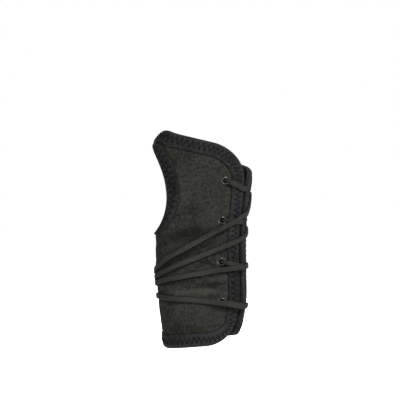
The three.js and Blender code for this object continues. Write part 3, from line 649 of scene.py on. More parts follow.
# %% Loops of the bound edges
TAPE_STEP, EVENED, CLIMB_STEPS = 1.5, 2, 200
TAPE_WIDTH, TAPE_THICK, TAPE_FOLD = 12.5, 0.8, 1.5


def even_loop(corners):
    """A closed pattern line as even steps, with its run and its inward direction."""
    closed = np.vstack([corners, corners[:1]])
    run = run_along(closed)
    even = np.linspace(0, run[-1], int(run[-1] / TAPE_STEP) + 1)
    line = np.stack([np.interp(even, run, closed[:, k]) for k in (0, 1)], axis=1)
    line[-1] = line[0]
    ring = line[:-1]
    left = left_of(np.roll(ring, -1, axis=0) - np.roll(ring, 1, axis=0))
    left = sum(np.roll(left, k, axis=0) for k in range(-EVENED, EVENED + 1))
    left /= np.linalg.norm(left, axis=1, keepdims=True)
    return {"run": even, "line": line, "in": np.vstack([left, left[:1]])}


climb = np.linspace(0, 1, CLIMB_STEPS)[1:-1, None]
slit_palm = BOTTOM_CURVE[-1] + (TOP_CURVE[0] - BOTTOM_CURVE[-1]) * climb
slit_flap = TOP_CURVE[-1] + (BOTTOM_CURVE[0] - TOP_CURVE[-1]) * climb
EDGES = {
    "edge": even_loop(np.vstack([BOTTOM_CURVE, slit_palm, TOP_CURVE, slit_flap])),
    "thumb": even_loop(hole_at(np.linspace(0, -2 * math.pi, CURVE_STEPS, endpoint=False))),
}


def gap_to(u, z, line, margin=0.0):
    """Least distance, on the pattern, from each place to a line, less the line's margin."""
    places = np.stack([u, z], axis=-1).reshape(-1, 2)
    gaps = [(np.linalg.norm(part[:, None] - line[None], axis=2) - margin).min(axis=1)
            for part in np.array_split(places, len(places) // AT_ONCE + 1)]
    return np.concatenate(gaps).reshape(u.shape)


AT_ONCE = 500
FOOT_LEAST, FOOT_FLARE = 3.2, 0.27
Meeting = namedtuple("Meeting", "name other share lift")
MEETINGS = [Meeting("edge", "thumb", 0.5, 0.0), Meeting("thumb", "edge", 0.7, 0.75)]
for name, other, share, lift in MEETINGS:
    loop = EDGES[name]
    room = gap_to(*loop["line"].T, EDGES[other]["line"])
    loop["width"] = np.minimum(TAPE_WIDTH, room * share)
    if name == "thumb":
        foot = np.hypot(loop["line"][:, 0], loop["line"][:, 1] - (HOLE_MID - HOLE_DOWN))
        loop["width"] = np.minimum(loop["width"], FOOT_LEAST + FOOT_FLARE * foot)
    loop["lift"] = lift * np.clip(2 - room / TAPE_WIDTH, 0, 1)
    narrowest = loop["width"].min().round(1)
    print(name, "binding is", round(loop["run"][-1]), "mm round, at least", narrowest, "mm wide")

# %% [markdown]
# ## The canvas panel
# The panel is one cut of heavy canvas that the laces pull into soft puffs and sharp creases, and that
# lies flat round each eyelet. It could be sculpted, but a table of puffs can be corrected one by one, and
# the same table later tells the finish to paint the puffs paler, partly as wear and partly as painted
# light, and the creases darker as painted shade.

# %% Relief of the laced canvas
CANVAS_RISE = 0.28
PUFFS = [
    Fold(64, -42.5, 0, 13, 1.5, -0.9), Fold(66, -46.8, -14, 9, 1.4, -0.7), Fold(62, -38.5, 8, 18, 3.2, 0.55),
    Fold(59, -54, 8, 9, 1.6, -0.7), Fold(50, -50, 4, 24, 3.6, 0.5), Fold(34, -31.5, 24, 14, 2.6, 0.45),
    Fold(24, -48.5, -10, 15, 3.4, 0.55), Fold(15, -50, 18, 12, 1.6, -0.6), Fold(30, -70, 62, 15, 3.5, 0.35),
    Fold(46, -74, 84, 17, 4.0, -0.3), Fold(56, -21, 26, 14, 2.4, 0.45), Fold(36, 2, 12, 22, 5.5, -0.75),
    Fold(32, 13, 8, 22, 7.0, 0.85), Fold(60, 30, 82, 20, 5.0, 0.3), Fold(44, 36, 96, 22, 4.0, -0.3),
    Fold(30, 62, 70, 14, 4.0, 0.3), Fold(-70, -20, 40, 22, 4.0, 0.5), Fold(-48, -18, 15, 18, 3.5, -0.5),
    Fold(-90, 20, 70, 20, 5.0, 0.45), Fold(-60, 55, 100, 22, 5.0, -0.4), Fold(-40, -72, 10, 24, 4.0, 0.4),
    Fold(58, -7, 26, 9, 1.3, -0.8), Fold(65, 0, 38, 7, 1.3, -0.7), Fold(60, -2, 30, 8, 2.0, 0.5),
    Fold(52, -24, 20, 8, 1.5, -0.7), Fold(62, -25, -30, 6, 1.3, -0.6), Fold(40, -46, 6, 10, 1.3, -0.5),
    Fold(56, -45, 10, 9, 1.2, -0.6), Fold(28, -22, 30, 9, 1.4, -0.5), Fold(22, -63, 70, 10, 1.8, -0.5),
]
LACE_DENT, LACE_PUFF, LACE_NEAR, PUFF_AT, PUFF_REACH = 0.2, 0.3, 2.8, 6.5, 2.6
RIPPLES = [(17.0, 78, 0.10, 0.4), (11.3, 62, 0.06, 1.7), (8.1, 104, 0.05, 2.9), (6.3, 20, 0.035, 5.1)]
DIMPLE_REACH = 5.0
LACE_SKIP = 4
SPOTS = [(f"eyelet_palm_{i + 1}", PALM_ROW, z) for i, z in enumerate(PALM_EYELETS)] \
    + [(f"eyelet_back_{i + 1}", BACK_ROW, z) for i, z in enumerate(BACK_EYELETS)]


def outside_laces():
    """Pattern places of the lace stretches that lie on the outside of the canvas."""
    stops = np.vstack([data["stops"][::LACE_SKIP] for data in LINES.values()])
    return stops[(stops[:, 2] > 0) & (stops[:, 0] < PALM_EDGE), :2]


def canvas_relief(u, z):
    """Height of the canvas over its plain form."""
    to_lace = gap_to(u, z, outside_laces())
    pressed = bell(to_lace / LACE_NEAR)
    height = fold_height(u, z, PUFFS) + LACE_PUFF * bell((to_lace - PUFF_AT) / PUFF_REACH)
    height = height * (1 - pressed) - LACE_DENT * pressed
    for length, turn, rise, start in RIPPLES:
        along = u * math.cos(math.radians(turn)) + z * math.sin(math.radians(turn))
        height = height + rise * np.sin(2 * math.pi * along / length + start)
    for _, spot_u, spot_z in SPOTS:
        on_panel = spot_u - PANEL_WIDTH - SLIT_WIDTH if spot_u > PALM_EDGE else spot_u
        height = height * (1 - bell(np.hypot(u - on_panel, z - spot_z) / DIMPLE_REACH))
    return CANVAS_RISE + height


print(len(PUFFS), "puffs and", len(RIPPLES), "ripples")

# %% [markdown]
# ## Where the cloth is faded and where shade is painted
# Worn black canvas is paler on its puffs, partly as wear and partly as painted light. Its colour also
# carries painted shade in its creases, a painted shadow just below each lace, patches of painted light and
# shade, and a painted shade line beside the tape. A painted picture would need a file of its own, so each
# corner of the
# grid carries two values for the finish: how faded and shaded the cloth is there, and how far it lies from
# the tape.

# %% Marks that the canvas carries for its finish
# Patches of painted light and shade on the canvas colour, each a soft fold of tone.
FADE_AND_SHADE = [
    Fold(42, 5.5, 8, 22, 8, -0.38), Fold(31, 72, 60, 14, 10, -0.3), Fold(40, -12, 25, 24, 7, -0.25),
    Fold(36, -17, 25, 12, 2.5, -0.35), Fold(57, -22.5, 15, 6, 3, -0.4), Fold(4, -60, 90, 60, 12, -0.3),
    Fold(42, 43, 87, 34, 9, 0.26), Fold(40, 23, 0, 28, 12, -0.25), Fold(8, 0, 90, 110, 16, -0.08),
    Fold(30, 17, 0, 26, 6, -0.28), Fold(48, -40, 6, 16, 4, -0.3), Fold(30, -85, 2, 28, 5, -0.3),
    Fold(34, -62.5, 0, 34, 3, 0.3), Fold(22, 13, 0, 13, 6, -0.3), Fold(64, 56, 80, 22, 8, -0.18),
    Fold(36, 30, 60, 10, 5, 0.25), Fold(48, -27, 22, 14, 3, -0.25), Fold(56, -41, 6, 12, 4, -0.25),
]
PUFF_WEAR_AND_SHADE, LACE_SHADE, SHADE_REACH, SHADE_DROP = 0.7, 0.62, 2.5, 2.9


def canvas_marks(u, z):
    """Fading with painted light and shade, a painted shadow below each lace, and millimetres from the inner
    edge of the nearest tape.
    """
    # Painted shadow: a dark band just below each lace, as if lit from above.
    painted_lace_shadow = LACE_SHADE * bell(gap_to(u, z + SHADE_DROP, outside_laces()) / SHADE_REACH)
    # Puffs painted pale and creases dark: partly wear, partly painted light and shade.
    fade_and_shade = fold_height(u, z, FADE_AND_SHADE) + PUFF_WEAR_AND_SHADE * fold_height(u, z, PUFFS) - painted_lace_shadow
    gaps = [gap_to(u, z, loop["line"], loop["width"]) for loop in EDGES.values()]
    return {"FadeAndShade": fade_and_shade, "FromTape": np.minimum(*gaps)}


print(len(FADE_AND_SHADE), "faded or dark places")

# %% [markdown]
# ## Laying the cloth
# A cutter lays the pattern flat and cuts the thumb hole out of it. A plane cut with a curve leaves long
# thin faces, so the grid is laid in two ladders, below and above the middle of the hole, that part along
# its rim and weld everywhere else. A Solidify modifier then gives the cloth its thickness.

# %% Lay the canvas in two ladders
ROWS_BELOW, ROWS_ABOVE = 96, 54
RIM, PAST_HOLE = HOLE_HALF + SEAT, 30.0
FLAP_BEND, PALM_BEND = BACK.top_run - BACK_EDGE, PALM_EDGE - PALM.top_run
Spread = namedtuple("Spread", "start end count ease")
even_steps = lambda t: t
flap_steps = lambda t: t ** 1.5
opening_steps = lambda t: 1 - np.cos(t * math.pi / 2)
closing_steps = lambda t: np.sin(t * math.pi / 2)
SPREADS = [
    Spread(SEAT - BACK_EDGE, FLAP_BEND, 20, flap_steps), Spread(FLAP_BEND, -PAST_HOLE, 48, even_steps),
    Spread(-PAST_HOLE, -RIM, 8, even_steps), Spread(-RIM, 0, 18, opening_steps),
    Spread(0, RIM, 18, closing_steps), Spread(RIM, PAST_HOLE, 8, even_steps),
    Spread(PAST_HOLE, PALM_BEND, 23, even_steps), Spread(PALM_BEND, PALM_EDGE - SEAT, 30, closing_steps),
]
columns = np.concatenate([start + (end - start) * ease(np.arange(count) / count)
                          for start, end, count, ease in SPREADS] + [[PALM_EDGE - SEAT]])
in_hole = np.abs(columns) < RIM - TINY
low_end = np.where(in_hole, height_on(inset(HOLE_BOTTOM_CURVE, SEAT), columns), HOLE_MID)
high_start = np.where(in_hole, height_on(inset(HOLE_TOP_CURVE, SEAT), columns), HOLE_MID)
low_start = height_on(inset(BOTTOM_CURVE, SEAT), columns)
high_end = height_on(inset(TOP_CURVE, SEAT), columns)
below = np.linspace(low_start, low_end, ROWS_BELOW + 1, axis=1)
above = np.linspace(high_start, high_end, ROWS_ABOVE + 1, axis=1)
canvas_z = np.concatenate([below, above], axis=1)
canvas_u = np.broadcast_to(columns[:, None], canvas_z.shape)
canvas = lay_grid(
    "wrap_canvas", place(canvas_u, canvas_z, canvas_relief(canvas_u, canvas_z)),
    np.stack([canvas_u, canvas_z], axis=-1) * MM, canvas_marks(canvas_u, canvas_z),
    open_face=lambda i, j: (j == ROWS_BELOW) & (in_hole[i] | in_hole[i + 1]),
)
print(canvas.name, len(canvas.data.polygons), "faces before the hole is opened")

# %% Open the thumb hole, weld the ladders and thicken the cloth
def open_hole():
    bpy.ops.mesh.delete(type="FACE")
    bpy.ops.mesh.select_mode(type="VERT")


bpy.context.tool_settings.mesh_select_mode = (False, False, True)
in_edit(canvas, open_hole, weld)
apply(canvas, "SOLIDIFY", thickness=(WALL + CANVAS_RISE) * MM, offset=-1, use_even_offset=True)
print(canvas.name, len(canvas.data.polygons), "faces")

# %% [markdown]
# ## Punching the eyelet holes
# A maker punches the canvas before setting an eyelet. The hole could be left in the grid, but a Boolean
# cut with a short rod does what the punch does, and the ragged edge lies under the eyelet's lip.

# %% Punch the canvas
PUNCH, PUNCH_SIDES, PUNCH_DEPTH = 2.7, 20, 6 * WALL


def spot_matrix(u, z):
    """Frame of an eyelet: its axis along the outward normal, in metres."""
    turn = Vector((0, 0, 1)).rotation_difference(Vector(normal_at(np.array(u), np.array(z))))
    return Matrix.Translation(Vector(place(u, z, 0.0)) * MM) @ turn.to_matrix().to_4x4()


for name, u, z in SPOTS:
    drop_selection()
    bpy.ops.mesh.primitive_cylinder_add(vertices=PUNCH_SIDES, radius=PUNCH * MM, depth=PUNCH_DEPTH * MM)
    rod = bpy.context.object
    rod.data.transform(spot_matrix(u, z))
    apply(canvas, "BOOLEAN", operation="DIFFERENCE", solver="EXACT", object=rod)
    bpy.data.objects.remove(rod)
smooth(canvas)
print("punched", len(SPOTS), "holes")

# %% [markdown]
# ## Folded tape
# A woven tape is folded over every raw edge and sewn down. A bevelled curve can't fold over a wall, so a
# grid is swept round each edge: its rows go from the inner leaf round the fold to the outer leaf. The
# sewing pulls the tape into small puckers and its free edges wander a little.

# %% Sweep the tape
LEAF_ROWS, FOLD_ROWS = 9, 9
ZIGZAG_PITCH, ZIGZAG_NEAR, ZIGZAG_FAR = 4.8, 3.4, 8.8
# Patches of painted light and shade on the binding tape.
TAPE_PAINTED_SHADING = [
    Fold(82, -54, 84, 34, 14, -0.32), Fold(25, -104, 0, 40, 7, 0.6), Fold(80, -82, 45, 18, 12, 0.4),
    Fold(29, 49, 95, 14, 6, -0.5),
]
PUCKER, PUCKER_LENGTH, PUCKER_DRIFT = 0.4, 4.7, 1.5
EDGE_WANDER, WANDER_LENGTH, WANDER_DRIFT = 0.28, 31.0, 2.0


def tape_section():
    """Share of the width, depth of the fold and height for each row, inner leaf first."""
    leaf = np.linspace(1, 0, LEAF_ROWS)
    turn = np.linspace(math.pi, 0, FOLD_ROWS + 2)[1:-1]
    share = np.concatenate([leaf, np.zeros(FOLD_ROWS), leaf[::-1]])
    fold = np.concatenate([np.ones(LEAF_ROWS), 1 - np.sin(turn), np.ones(LEAF_ROWS)])
    middle, reach = -WALL / 2, WALL / 2 + SEAT
    height = np.concatenate([np.full(LEAF_ROWS, middle - reach), middle + reach * np.cos(turn),
                             np.full(LEAF_ROWS, middle + reach)])
    return share, fold, height


def sweep_tape(name, loop):
    share, fold, height = tape_section()
    run = loop["run"][:, None]
    total = loop["run"][-1]
    beat, slow = (2 * math.pi * round(total / length) / total * run
                  for length in (PUCKER_LENGTH, WANDER_LENGTH))
    wander = EDGE_WANDER * np.sin(slow + WANDER_DRIFT * np.sin(slow * 2))
    width = loop["width"][:, None] + wander * (loop["width"][:, None] == TAPE_WIDTH)
    depth = TAPE_FOLD * fold + (width - TAPE_FOLD) * share
    outward = np.sign(height + WALL / 2)
    pucker = PUCKER * np.sin(math.pi * share) ** 2 * np.sin(beat + PUCKER_DRIFT * np.sin(slow))
    u = loop["line"][:, :1] + loop["in"][:, :1] * depth
    z = loop["line"][:, 1:] + loop["in"][:, 1:] * depth
    lift = loop["lift"][:, None] * np.sqrt(share) * (outward > 0)
    points = place(u, z, height + pucker * outward + lift)
    points[-1] = points[0]
    stitches = run / total * round(total / ZIGZAG_PITCH)
    along = np.broadcast_to(stitches * ZIGZAG_PITCH, u.shape) * MM
    full_depth = TAPE_FOLD * fold + (TAPE_WIDTH - TAPE_FOLD) * share
    over = np.broadcast_to(outward * full_depth, u.shape) * MM
    # The tape carries its patches of painted light and shade as a mark.
    piece = lay_grid(name, points, np.stack([along, over], axis=-1),
                     {"FadeAndShade": fold_height(u, z, TAPE_PAINTED_SHADING)})
    in_edit(piece, weld)
    apply(piece, "SOLIDIFY", thickness=TAPE_THICK * MM, offset=-1, use_even_offset=False)
    return smooth(piece)


tapes = {name: sweep_tape(f"{name}_tape", loop) for name, loop in EDGES.items()}
for tape in tapes.values():
    print(tape.name, len(tape.data.polygons), "faces")

# %% [markdown]
# ## Zigzag stitching
# The tape is sewn down with a close zigzag in black thread that shows on both faces. It could be painted
# as bump, but the thread stands proud and catches light, so each run of thread is one bevelled curve
# that dips into the tape at every needle hole and is then turned into a mesh.

# %% Thread as a bevelled curve
THREAD = 0.34


def thread_mesh(name, lines, closed):
    """Bevelled curves along lines of points, in millimetres, turned into one mesh."""
    data = bpy.data.curves.new(name, "CURVE")
    data.dimensions = "3D"
    data.bevel_depth = THREAD * MM
    data.bevel_resolution = 1
    data.use_fill_caps = True
    for line in lines:
        spline = data.splines.new("POLY")
        spline.points.add(len(line) - 1)
        spline.points.foreach_set("co", np.c_[line * MM, np.ones(len(line))].ravel())
        spline.use_cyclic_u = closed
    piece = bpy.data.objects.new(name, data)
    bpy.context.scene.collection.objects.link(piece)
    pick(piece)
    bpy.ops.object.convert(target="MESH")
    piece = bpy.context.object
    piece.name = piece.data.name = name
    return smooth(piece)


print("thread is", 2 * THREAD, "mm thick")

# %% Sew the tape
HEM = 0.6
Needle = namedtuple("Needle", "share rise")
ZIGZAG_SHAPE = [Needle(0.0, -0.2), Needle(0.12, 0.16), Needle(0.5, 0.26), Needle(0.88, 0.16)]


def stitch_steps(shape, count):
    """Number of the stitch, share of it and rise of the thread, for every point of a seam."""
    share, rise = np.array(shape).T
    return np.repeat(np.arange(count), len(shape)), np.tile(share, count), np.tile(rise, count)


def on_tape(loop, run, depth, height):
    """Points over a tape at a run along it, a depth from its fold and a height."""
    look_up = lambda table: np.interp(run, loop["run"], table)
    u = look_up(loop["line"][:, 0]) + look_up(loop["in"][:, 0]) * depth
    z = look_up(loop["line"][:, 1]) + look_up(loop["in"][:, 1]) * depth
    return place(u, z, height)


def zigzag(loop, outside):
    """One thread to and fro between the two rows of needle holes, on the outer or the inner leaf."""
    total = loop["run"][-1]
    legs = 2 * round(total / ZIGZAG_PITCH)
    leg, share, rise = stitch_steps(ZIGZAG_SHAPE, legs)
    run = (leg + share) * total / legs
    inwards = np.where(leg % 2 == 0, share, 1 - share)
    width = np.interp(run, loop["run"], loop["width"])
    depth = (ZIGZAG_NEAR + (ZIGZAG_FAR - ZIGZAG_NEAR) * inwards) * width / TAPE_WIDTH
    depth = np.clip(depth, TAPE_FOLD + HEM, width - HEM)
    lift = np.interp(run, loop["run"], loop["lift"]) * np.sqrt(depth / TAPE_WIDTH)
    level = SEAT + lift + rise if outside else -WALL - SEAT - rise
    return on_tape(loop, run, depth, level)


stitching = {}
for name, loop in EDGES.items():
    threads = thread_mesh(f"{name}_stitching", [zigzag(loop, True), zigzag(loop, False)], True)
    stitching[name] = threads
    print(threads.name, len(threads.data.polygons), "faces")

# %% [markdown]
# ## Eyelets
# An eyelet is a short barrel of thin metal whose ends are rolled out over the cloth. A lathe profile
# would do, but the way it is really made is as simple: start with an open barrel, draw its rims out and
# curl them over, then thicken the sheet and smooth it.

# %% Roll one eyelet and set a copy in each hole
EYELET_SIDES, EYELET_BORE, EYELET_SHEET, BARREL = 28, 2.25, 0.28, WALL + 0.6
Rim = namedtuple("Rim", "radius height")
OUTER_RIM = [Rim(2.35, 0.62), Rim(2.62, 0.86), Rim(3.02, 0.84), Rim(3.3, 0.58), Rim(3.28, 0.36)]
INNER_RIM = [Rim(2.4, -3.12), Rim(2.8, -3.3), Rim(3.1, -3.24), Rim(3.16, -3.05)]


def draw_rim(piece, top, rows):
    """Draws one open rim of the barrel out through a list of radii and heights."""
    edge = max if top else min
    level = edge(v.co.z for v in piece.data.vertices)
    for vertex in piece.data.vertices:
        vertex.select = abs(vertex.co.z - level) < WELD
    radius = EYELET_BORE
    for row in rows:
        def step(scale=row.radius / radius, rise=row.height * MM - level):
            bpy.ops.mesh.extrude_region_move(TRANSFORM_OT_translate={"value": (0, 0, rise)})
            bpy.ops.transform.resize(value=(scale, scale, 1), center_override=(0, 0, 0))
        in_edit(piece, step)
        radius, level = row.radius, row.height * MM


bpy.context.tool_settings.mesh_select_mode = (True, False, False)
drop_selection()
bpy.ops.mesh.primitive_cylinder_add(vertices=EYELET_SIDES, radius=EYELET_BORE * MM, depth=BARREL * MM,
                                    end_fill_type="NOTHING")
barrel = bpy.context.object
barrel.data.transform(Matrix.Translation((0, 0, -WALL / 2 * MM)))
draw_rim(barrel, True, OUTER_RIM)
draw_rim(barrel, False, INNER_RIM)
in_edit(barrel, weld, face_out)
apply(barrel, "SOLIDIFY", thickness=EYELET_SHEET * MM, offset=0)
in_edit(barrel, face_out)
apply(barrel, "SUBSURF", levels=1, render_levels=1)
smooth(barrel)
eyelets = {}
for name, u, z in SPOTS:
    mesh = barrel.data.copy()
    mesh.transform(spot_matrix(u, z))
    eyelets[name] = bpy.data.objects.new(f"{name}_rolled", mesh)
    bpy.context.scene.collection.objects.link(eyelets[name])
bpy.data.objects.remove(barrel)
print("eyelet has", len(mesh.polygons), "faces")

# %% [markdown]
# ## Pull tab
# The four lace ends meet on the back between two leaves of webbing, one strip folded at the far end and
# sewn down along its sides. The strip is a grid again: its columns follow the fold, and its rows run
# across the webbing, where the sides are pinched flat by the sewing.

# %% Fold the tab
TAB_MIDDLE, TAB_HALF, TAB_TOP, TAB_SLIM = -45.1, 13.4, 5.2, 3.2
TAB_COLUMNS, TAB_FOLD_STEPS, TAB_ROWS = 40, 8, 33
TAB_PINCH, TAB_SPARE, TAB_HOLD = 3.4, 0.2, 3.0
TAB_CORNER, TAB_CORNER_RUN = 2.5, 5.0


def eased(share):
    share = np.clip(share, 0, 1)
    return share * share * (3 - 2 * share)


def tab_points():
    """Pattern places and heights of the strip: along the upper leaf, round the fold and back below."""
    run = np.linspace(TAB_MOUTH, TAB_END + TAB_SLIM / 2, TAB_COLUMNS)
    fall = eased((TAB_THROAT - TAB_HOLD - run) / (TAB_THROAT - TAB_SHOULDER))
    crown = GAP + TAB_TOP * (1 - fall) + TAB_SLIM * fall
    turn = np.linspace(math.pi / 2, -math.pi / 2, TAB_FOLD_STEPS + 2)[1:-1]
    middle, reach = GAP + TAB_SLIM / 2, TAB_SLIM / 2
    u = np.concatenate([run, TAB_END + reach - reach * np.cos(turn), run[::-1]])
    upper = np.concatenate([crown, middle + reach * np.sin(turn), np.full(TAB_COLUMNS, GAP)])
    across = np.linspace(-1, 1, TAB_ROWS)
    soft = eased((1 - np.abs(across)) * TAB_HALF / TAB_PINCH)[None, :]
    flat = GAP + 2 * TAB_LEAF + TAB_SPARE
    is_top = (np.arange(len(u)) < TAB_COLUMNS)[:, None]
    height = np.where(is_top, flat + (upper[:, None] - flat) * soft, upper[:, None])
    u = np.broadcast_to(u[:, None], height.shape)
    corner = TAB_CORNER * np.clip((TAB_END + TAB_CORNER_RUN - u) / TAB_CORNER_RUN, 0, 1) ** 2
    z = TAB_MIDDLE + across * (TAB_HALF - corner)
    return u, z, height


tab_u, tab_z, tab_n = tab_points()
tab_run = run_along(np.stack([tab_u[:, 0], tab_n[:, TAB_ROWS // 2]], axis=1))
tab_uv = np.stack(np.broadcast_arrays(tab_run[:, None], tab_z), axis=-1) * MM
tab = lay_grid("tab_webbing", place(tab_u, tab_z, tab_n), tab_uv)
apply(tab, "SOLIDIFY", thickness=TAB_LEAF * MM, offset=1)
smooth(tab)
print(tab.name, len(tab.data.polygons), "faces")

# %% [markdown]
# ## Sewing on the tab
# A maker sews the tab down along both sides and with a crossed box past the lace ends. A dashed line in
# the finish would do from afar, but thread that rises between needle holes also shows from the side, so
# each seam is a row of short arcs.

# %% Sew the tab
TAB_STITCH = 2.6
SEAM_SHAPE = [
    Needle(0.06, -0.25), Needle(0.2, 0.12), Needle(0.5, 0.2), Needle(0.8, 0.12), Needle(0.94, -0.25),
]
SIDE_SEAM, SIDE_START, SIDE_STOP = TAB_HALF - 2.2, TAB_MOUTH - 1, TAB_END + 5
BOX_SEAM, BOX_START, BOX_STOP = SIDE_SEAM - 3, -61.0, -79.0
SIDE_LEVEL, BOX_LEVEL = GAP + 2 * TAB_LEAF + 0.75, GAP + TAB_SLIM


def seam(corners, level):
    """A straight lockstitch through pattern corners."""
    corners = np.array(corners)
    run = run_along(corners)
    count = round(run[-1] / TAB_STITCH)
    stitch, share, rise = stitch_steps(SEAM_SHAPE, count)
    u, z = (np.interp((stitch + share) * run[-1] / count, run, side) for side in corners.T)
    return place(u, z, level + rise)


low, high = TAB_MIDDLE - BOX_SEAM, TAB_MIDDLE + BOX_SEAM
box = [(BOX_START, low), (BOX_START, high), (BOX_STOP, high), (BOX_STOP, low)]
seams = [seam([(SIDE_START, z), (SIDE_STOP, z)], SIDE_LEVEL)
         for z in (TAB_MIDDLE - SIDE_SEAM, TAB_MIDDLE + SIDE_SEAM)]
seams += [seam(corners, BOX_LEVEL) for corners in ([*box, box[0]], box[::2], box[1::2])]
tab_threads = thread_mesh("tab_stitching", seams, False)
print(tab_threads.name, len(tab_threads.data.polygons), "faces")

# %% [markdown]
# ## Shader sums in plain Python
# A finish is a sum of waves and noise. Wiring each Math node separately would hide the idea, so one small
# class wraps a socket and lets Python's own operators add the nodes, and another holds one material.

# %% Socket arithmetic
class Wire:
    """A node's output that can be used in Python sums."""

    def __init__(self, tree, socket):
        self.tree, self.socket = tree, socket

    def math(self, operation, *others, swapped=False):
        node = self.tree.nodes.new("ShaderNodeMath")
        node.operation = operation
        values = [*others, self] if swapped else [self, *others]
        for slot, value in zip(node.inputs, values):
            connect(self.tree, slot, value)
        return Wire(self.tree, node.outputs[0])

    def __add__(self, other):
        return self.math("ADD", other)

    def __sub__(self, other):
        return self.math("SUBTRACT", other)

    def __rsub__(self, other):
        return self.math("SUBTRACT", other, swapped=True)

    def __mul__(self, other):
        return self.math("MULTIPLY", other)

    def __truediv__(self, other):
        return self.math("DIVIDE", other)

    def __rtruediv__(self, other):
        return self.math("DIVIDE", other, swapped=True)

    def __abs__(self):
        return self.math("ABSOLUTE")

    __radd__, __rmul__ = __add__, __mul__

    def wave(self, length):
        """Sine of a distance, once per length."""
        return (self * (2 * math.pi / length)).math("SINE")

    def clamped(self):
        return self.math("MAXIMUM", 0.0).math("MINIMUM", 1.0)


def connect(tree, slot, value):
    if isinstance(value, Wire):
        tree.links.new(value.socket, slot)
    else:
        slot.default_value = value


print("sockets can be added, subtracted, multiplied and divided")


# %% One material with its own patterns
class Finish:
    """A material with one Principled shader; constants go straight onto its sockets."""

    def __init__(self, name, **constants):
        self.material = bpy.data.materials.new(name)
        self.material.use_nodes = True
        self.tree = self.material.node_tree
        self.shader = self.tree.nodes["Principled BSDF"]
        self.drive(**constants)

    def node(self, kind, settings=None, inputs=None, out=0):
        """Any other node: its type, its settings and the values or links of its sockets."""
        made = self.tree.nodes.new("ShaderNode" + kind)
        for key, value in (settings or {}).items():
            setattr(made, key, value)
        for key, value in (inputs or {}).items():
            connect(self.tree, made.inputs[key], value)
        return Wire(self.tree, made.outputs[out])

    def pattern(self):
        """The two directions of the piece's own pattern map, in metres."""
        uv = self.node("UVMap", {"uv_map": "Pattern"})
        return tuple(self.node("SeparateXYZ", None, {0: uv}, out=side) for side in (0, 1))

    def mark(self, name):
        """A value that the piece's own mesh carries."""
        return self.node("Attribute", {"attribute_name": name}, None, "Fac")

    def grain(self, along, over, cell):
        """Noise about zero, with cells of a given length along and over the pattern."""
        spot = self.node("CombineXYZ", None, {0: along / cell.along, 1: over / cell.over, 2: cell.start})
        inputs = {"Vector": spot, "Scale": 1.0, "Detail": 2.0, "Roughness": 0.55}
        return self.node("TexNoise", {"noise_dimensions": "3D"}, inputs) - 0.5

    def speckle(self, scale):
        """Noise from 0 to 1 on the piece's own coordinates, with so many cells to a metre."""
        spot = self.node("TexCoord", None, None, "Object")
        return self.node("TexNoise", None, {"Vector": spot, "Scale": scale, "Detail": 2.0})

    def mix(self, share, first, second):
        return self.node("Mix", {"data_type": "RGBA"}, {0: share, 6: first, 7: second}, out=2)

    def drive(self, **links):
        """Links or constants for the shader's own sockets."""
        for socket, value in links.items():
            connect(self.tree, self.shader.inputs[socket.replace("_", " ")], value)

    def bump(self, height, distance, strength=1.0):
        self.drive(Normal=self.node("Bump", None, {"Height": height, "Distance": distance,
                                                   "Strength": strength}))


print("shader helpers ready")

# %% [markdown]
# ## Canvas finish
# The cloth is a faded black cotton canvas whose upright yarns show as fine streaks and specks. An even
# colour would look like paint, so streaks, specks, slubs and a slow fading are mixed on the pattern map
# with the marks' painted light and shade, a painted shade line follows the tape, and the crossing of the
# yarns is a bump at the size of real thread.

# %% Canvas
YARN = 0.62 * MM
Cell = namedtuple("Cell", "along over start")
STREAK, SPECK, SLUB = Cell(0.0009, 0.0042, 3.1), Cell(0.0017, 0.0017, 9.4), Cell(0.0042, 0.0022, 7.7)
SLOW_FADE, NAP = Cell(0.030, 0.036, 1.3), Cell(0.0009, 0.0016, 5.5)
CLOTH_DARK, CLOTH_PALE = (0.005, 0.0052, 0.0041, 1), (0.0245, 0.0249, 0.0212, 1)
# Colour and place of the painted shade line beside the tape.
TAPE_EDGE_SHADE, LINE_AT, LINE_REACH = (0.004, 0.004, 0.004, 1), 0.35, 0.6


def canvas_finish():
    finish = Finish("faded_canvas_with_painted_shade", Roughness=0.95, Specular_IOR_Level=0.05)
    u, z = finish.pattern()
    cells = (STREAK, SPECK, SLUB, SLOW_FADE, NAP)
    streak, speck, slub, fade, nap = (finish.grain(u, z, cell) for cell in cells)
    mottle = streak * 1.4 + speck * 0.9 + slub * 0.8 + fade * 0.8
    # The mark adds the fading and the painted light and shade.
    shade = mottle + finish.mark("FadeAndShade") * 0.7 + 0.48
    cloth = finish.mix(shade.clamped(), CLOTH_DARK, CLOTH_PALE)
    # Painted shade: a dark line along the inner edge of the tape.
    line = (1.0 - abs(finish.mark("FromTape") - LINE_AT) / LINE_REACH).clamped()
    finish.drive(Base_Color=finish.mix(line * 0.8, cloth, TAPE_EDGE_SHADE))
    weave = u.wave(2 * YARN) * z.wave(2 * YARN)
    finish.bump(weave * 0.35 + nap * 0.9 + streak * 0.6, 0.0002, 0.85)
    return finish.material


canvas_look = canvas_finish()
print(canvas_look.name)

# %% [markdown]
# ## Tape and thread
# The tape is a tight black weave with ribs across it, a little bluer than the canvas, and the thread is
# dull and nearly black. One plain black would hide the sewing, so the tape is mottled, a little paler
# between the stitches, with painted shade round each needle hole and patches of painted light and shade, and
# its ribs are a bump.

# %% Tape and thread
TAPE_MOTTLE, TAPE_SLOW = Cell(0.0023, 0.0019, 2.2), Cell(0.021, 0.011, 4.4)
TAPE_DARK, TAPE_PALE = (0.0033, 0.0033, 0.0035, 1), (0.0150, 0.0149, 0.0156, 1)
THREAD_DARK, THREAD_PALE, THREAD_CELLS = (0.0016, 0.0016, 0.0018, 1), (0.0046, 0.0046, 0.0048, 1), 1400.0
BINDING_RIB, WEBBING_RIB, NEEDLE_REACH = 1.1 * MM, 1.6 * MM, 1.6 * MM


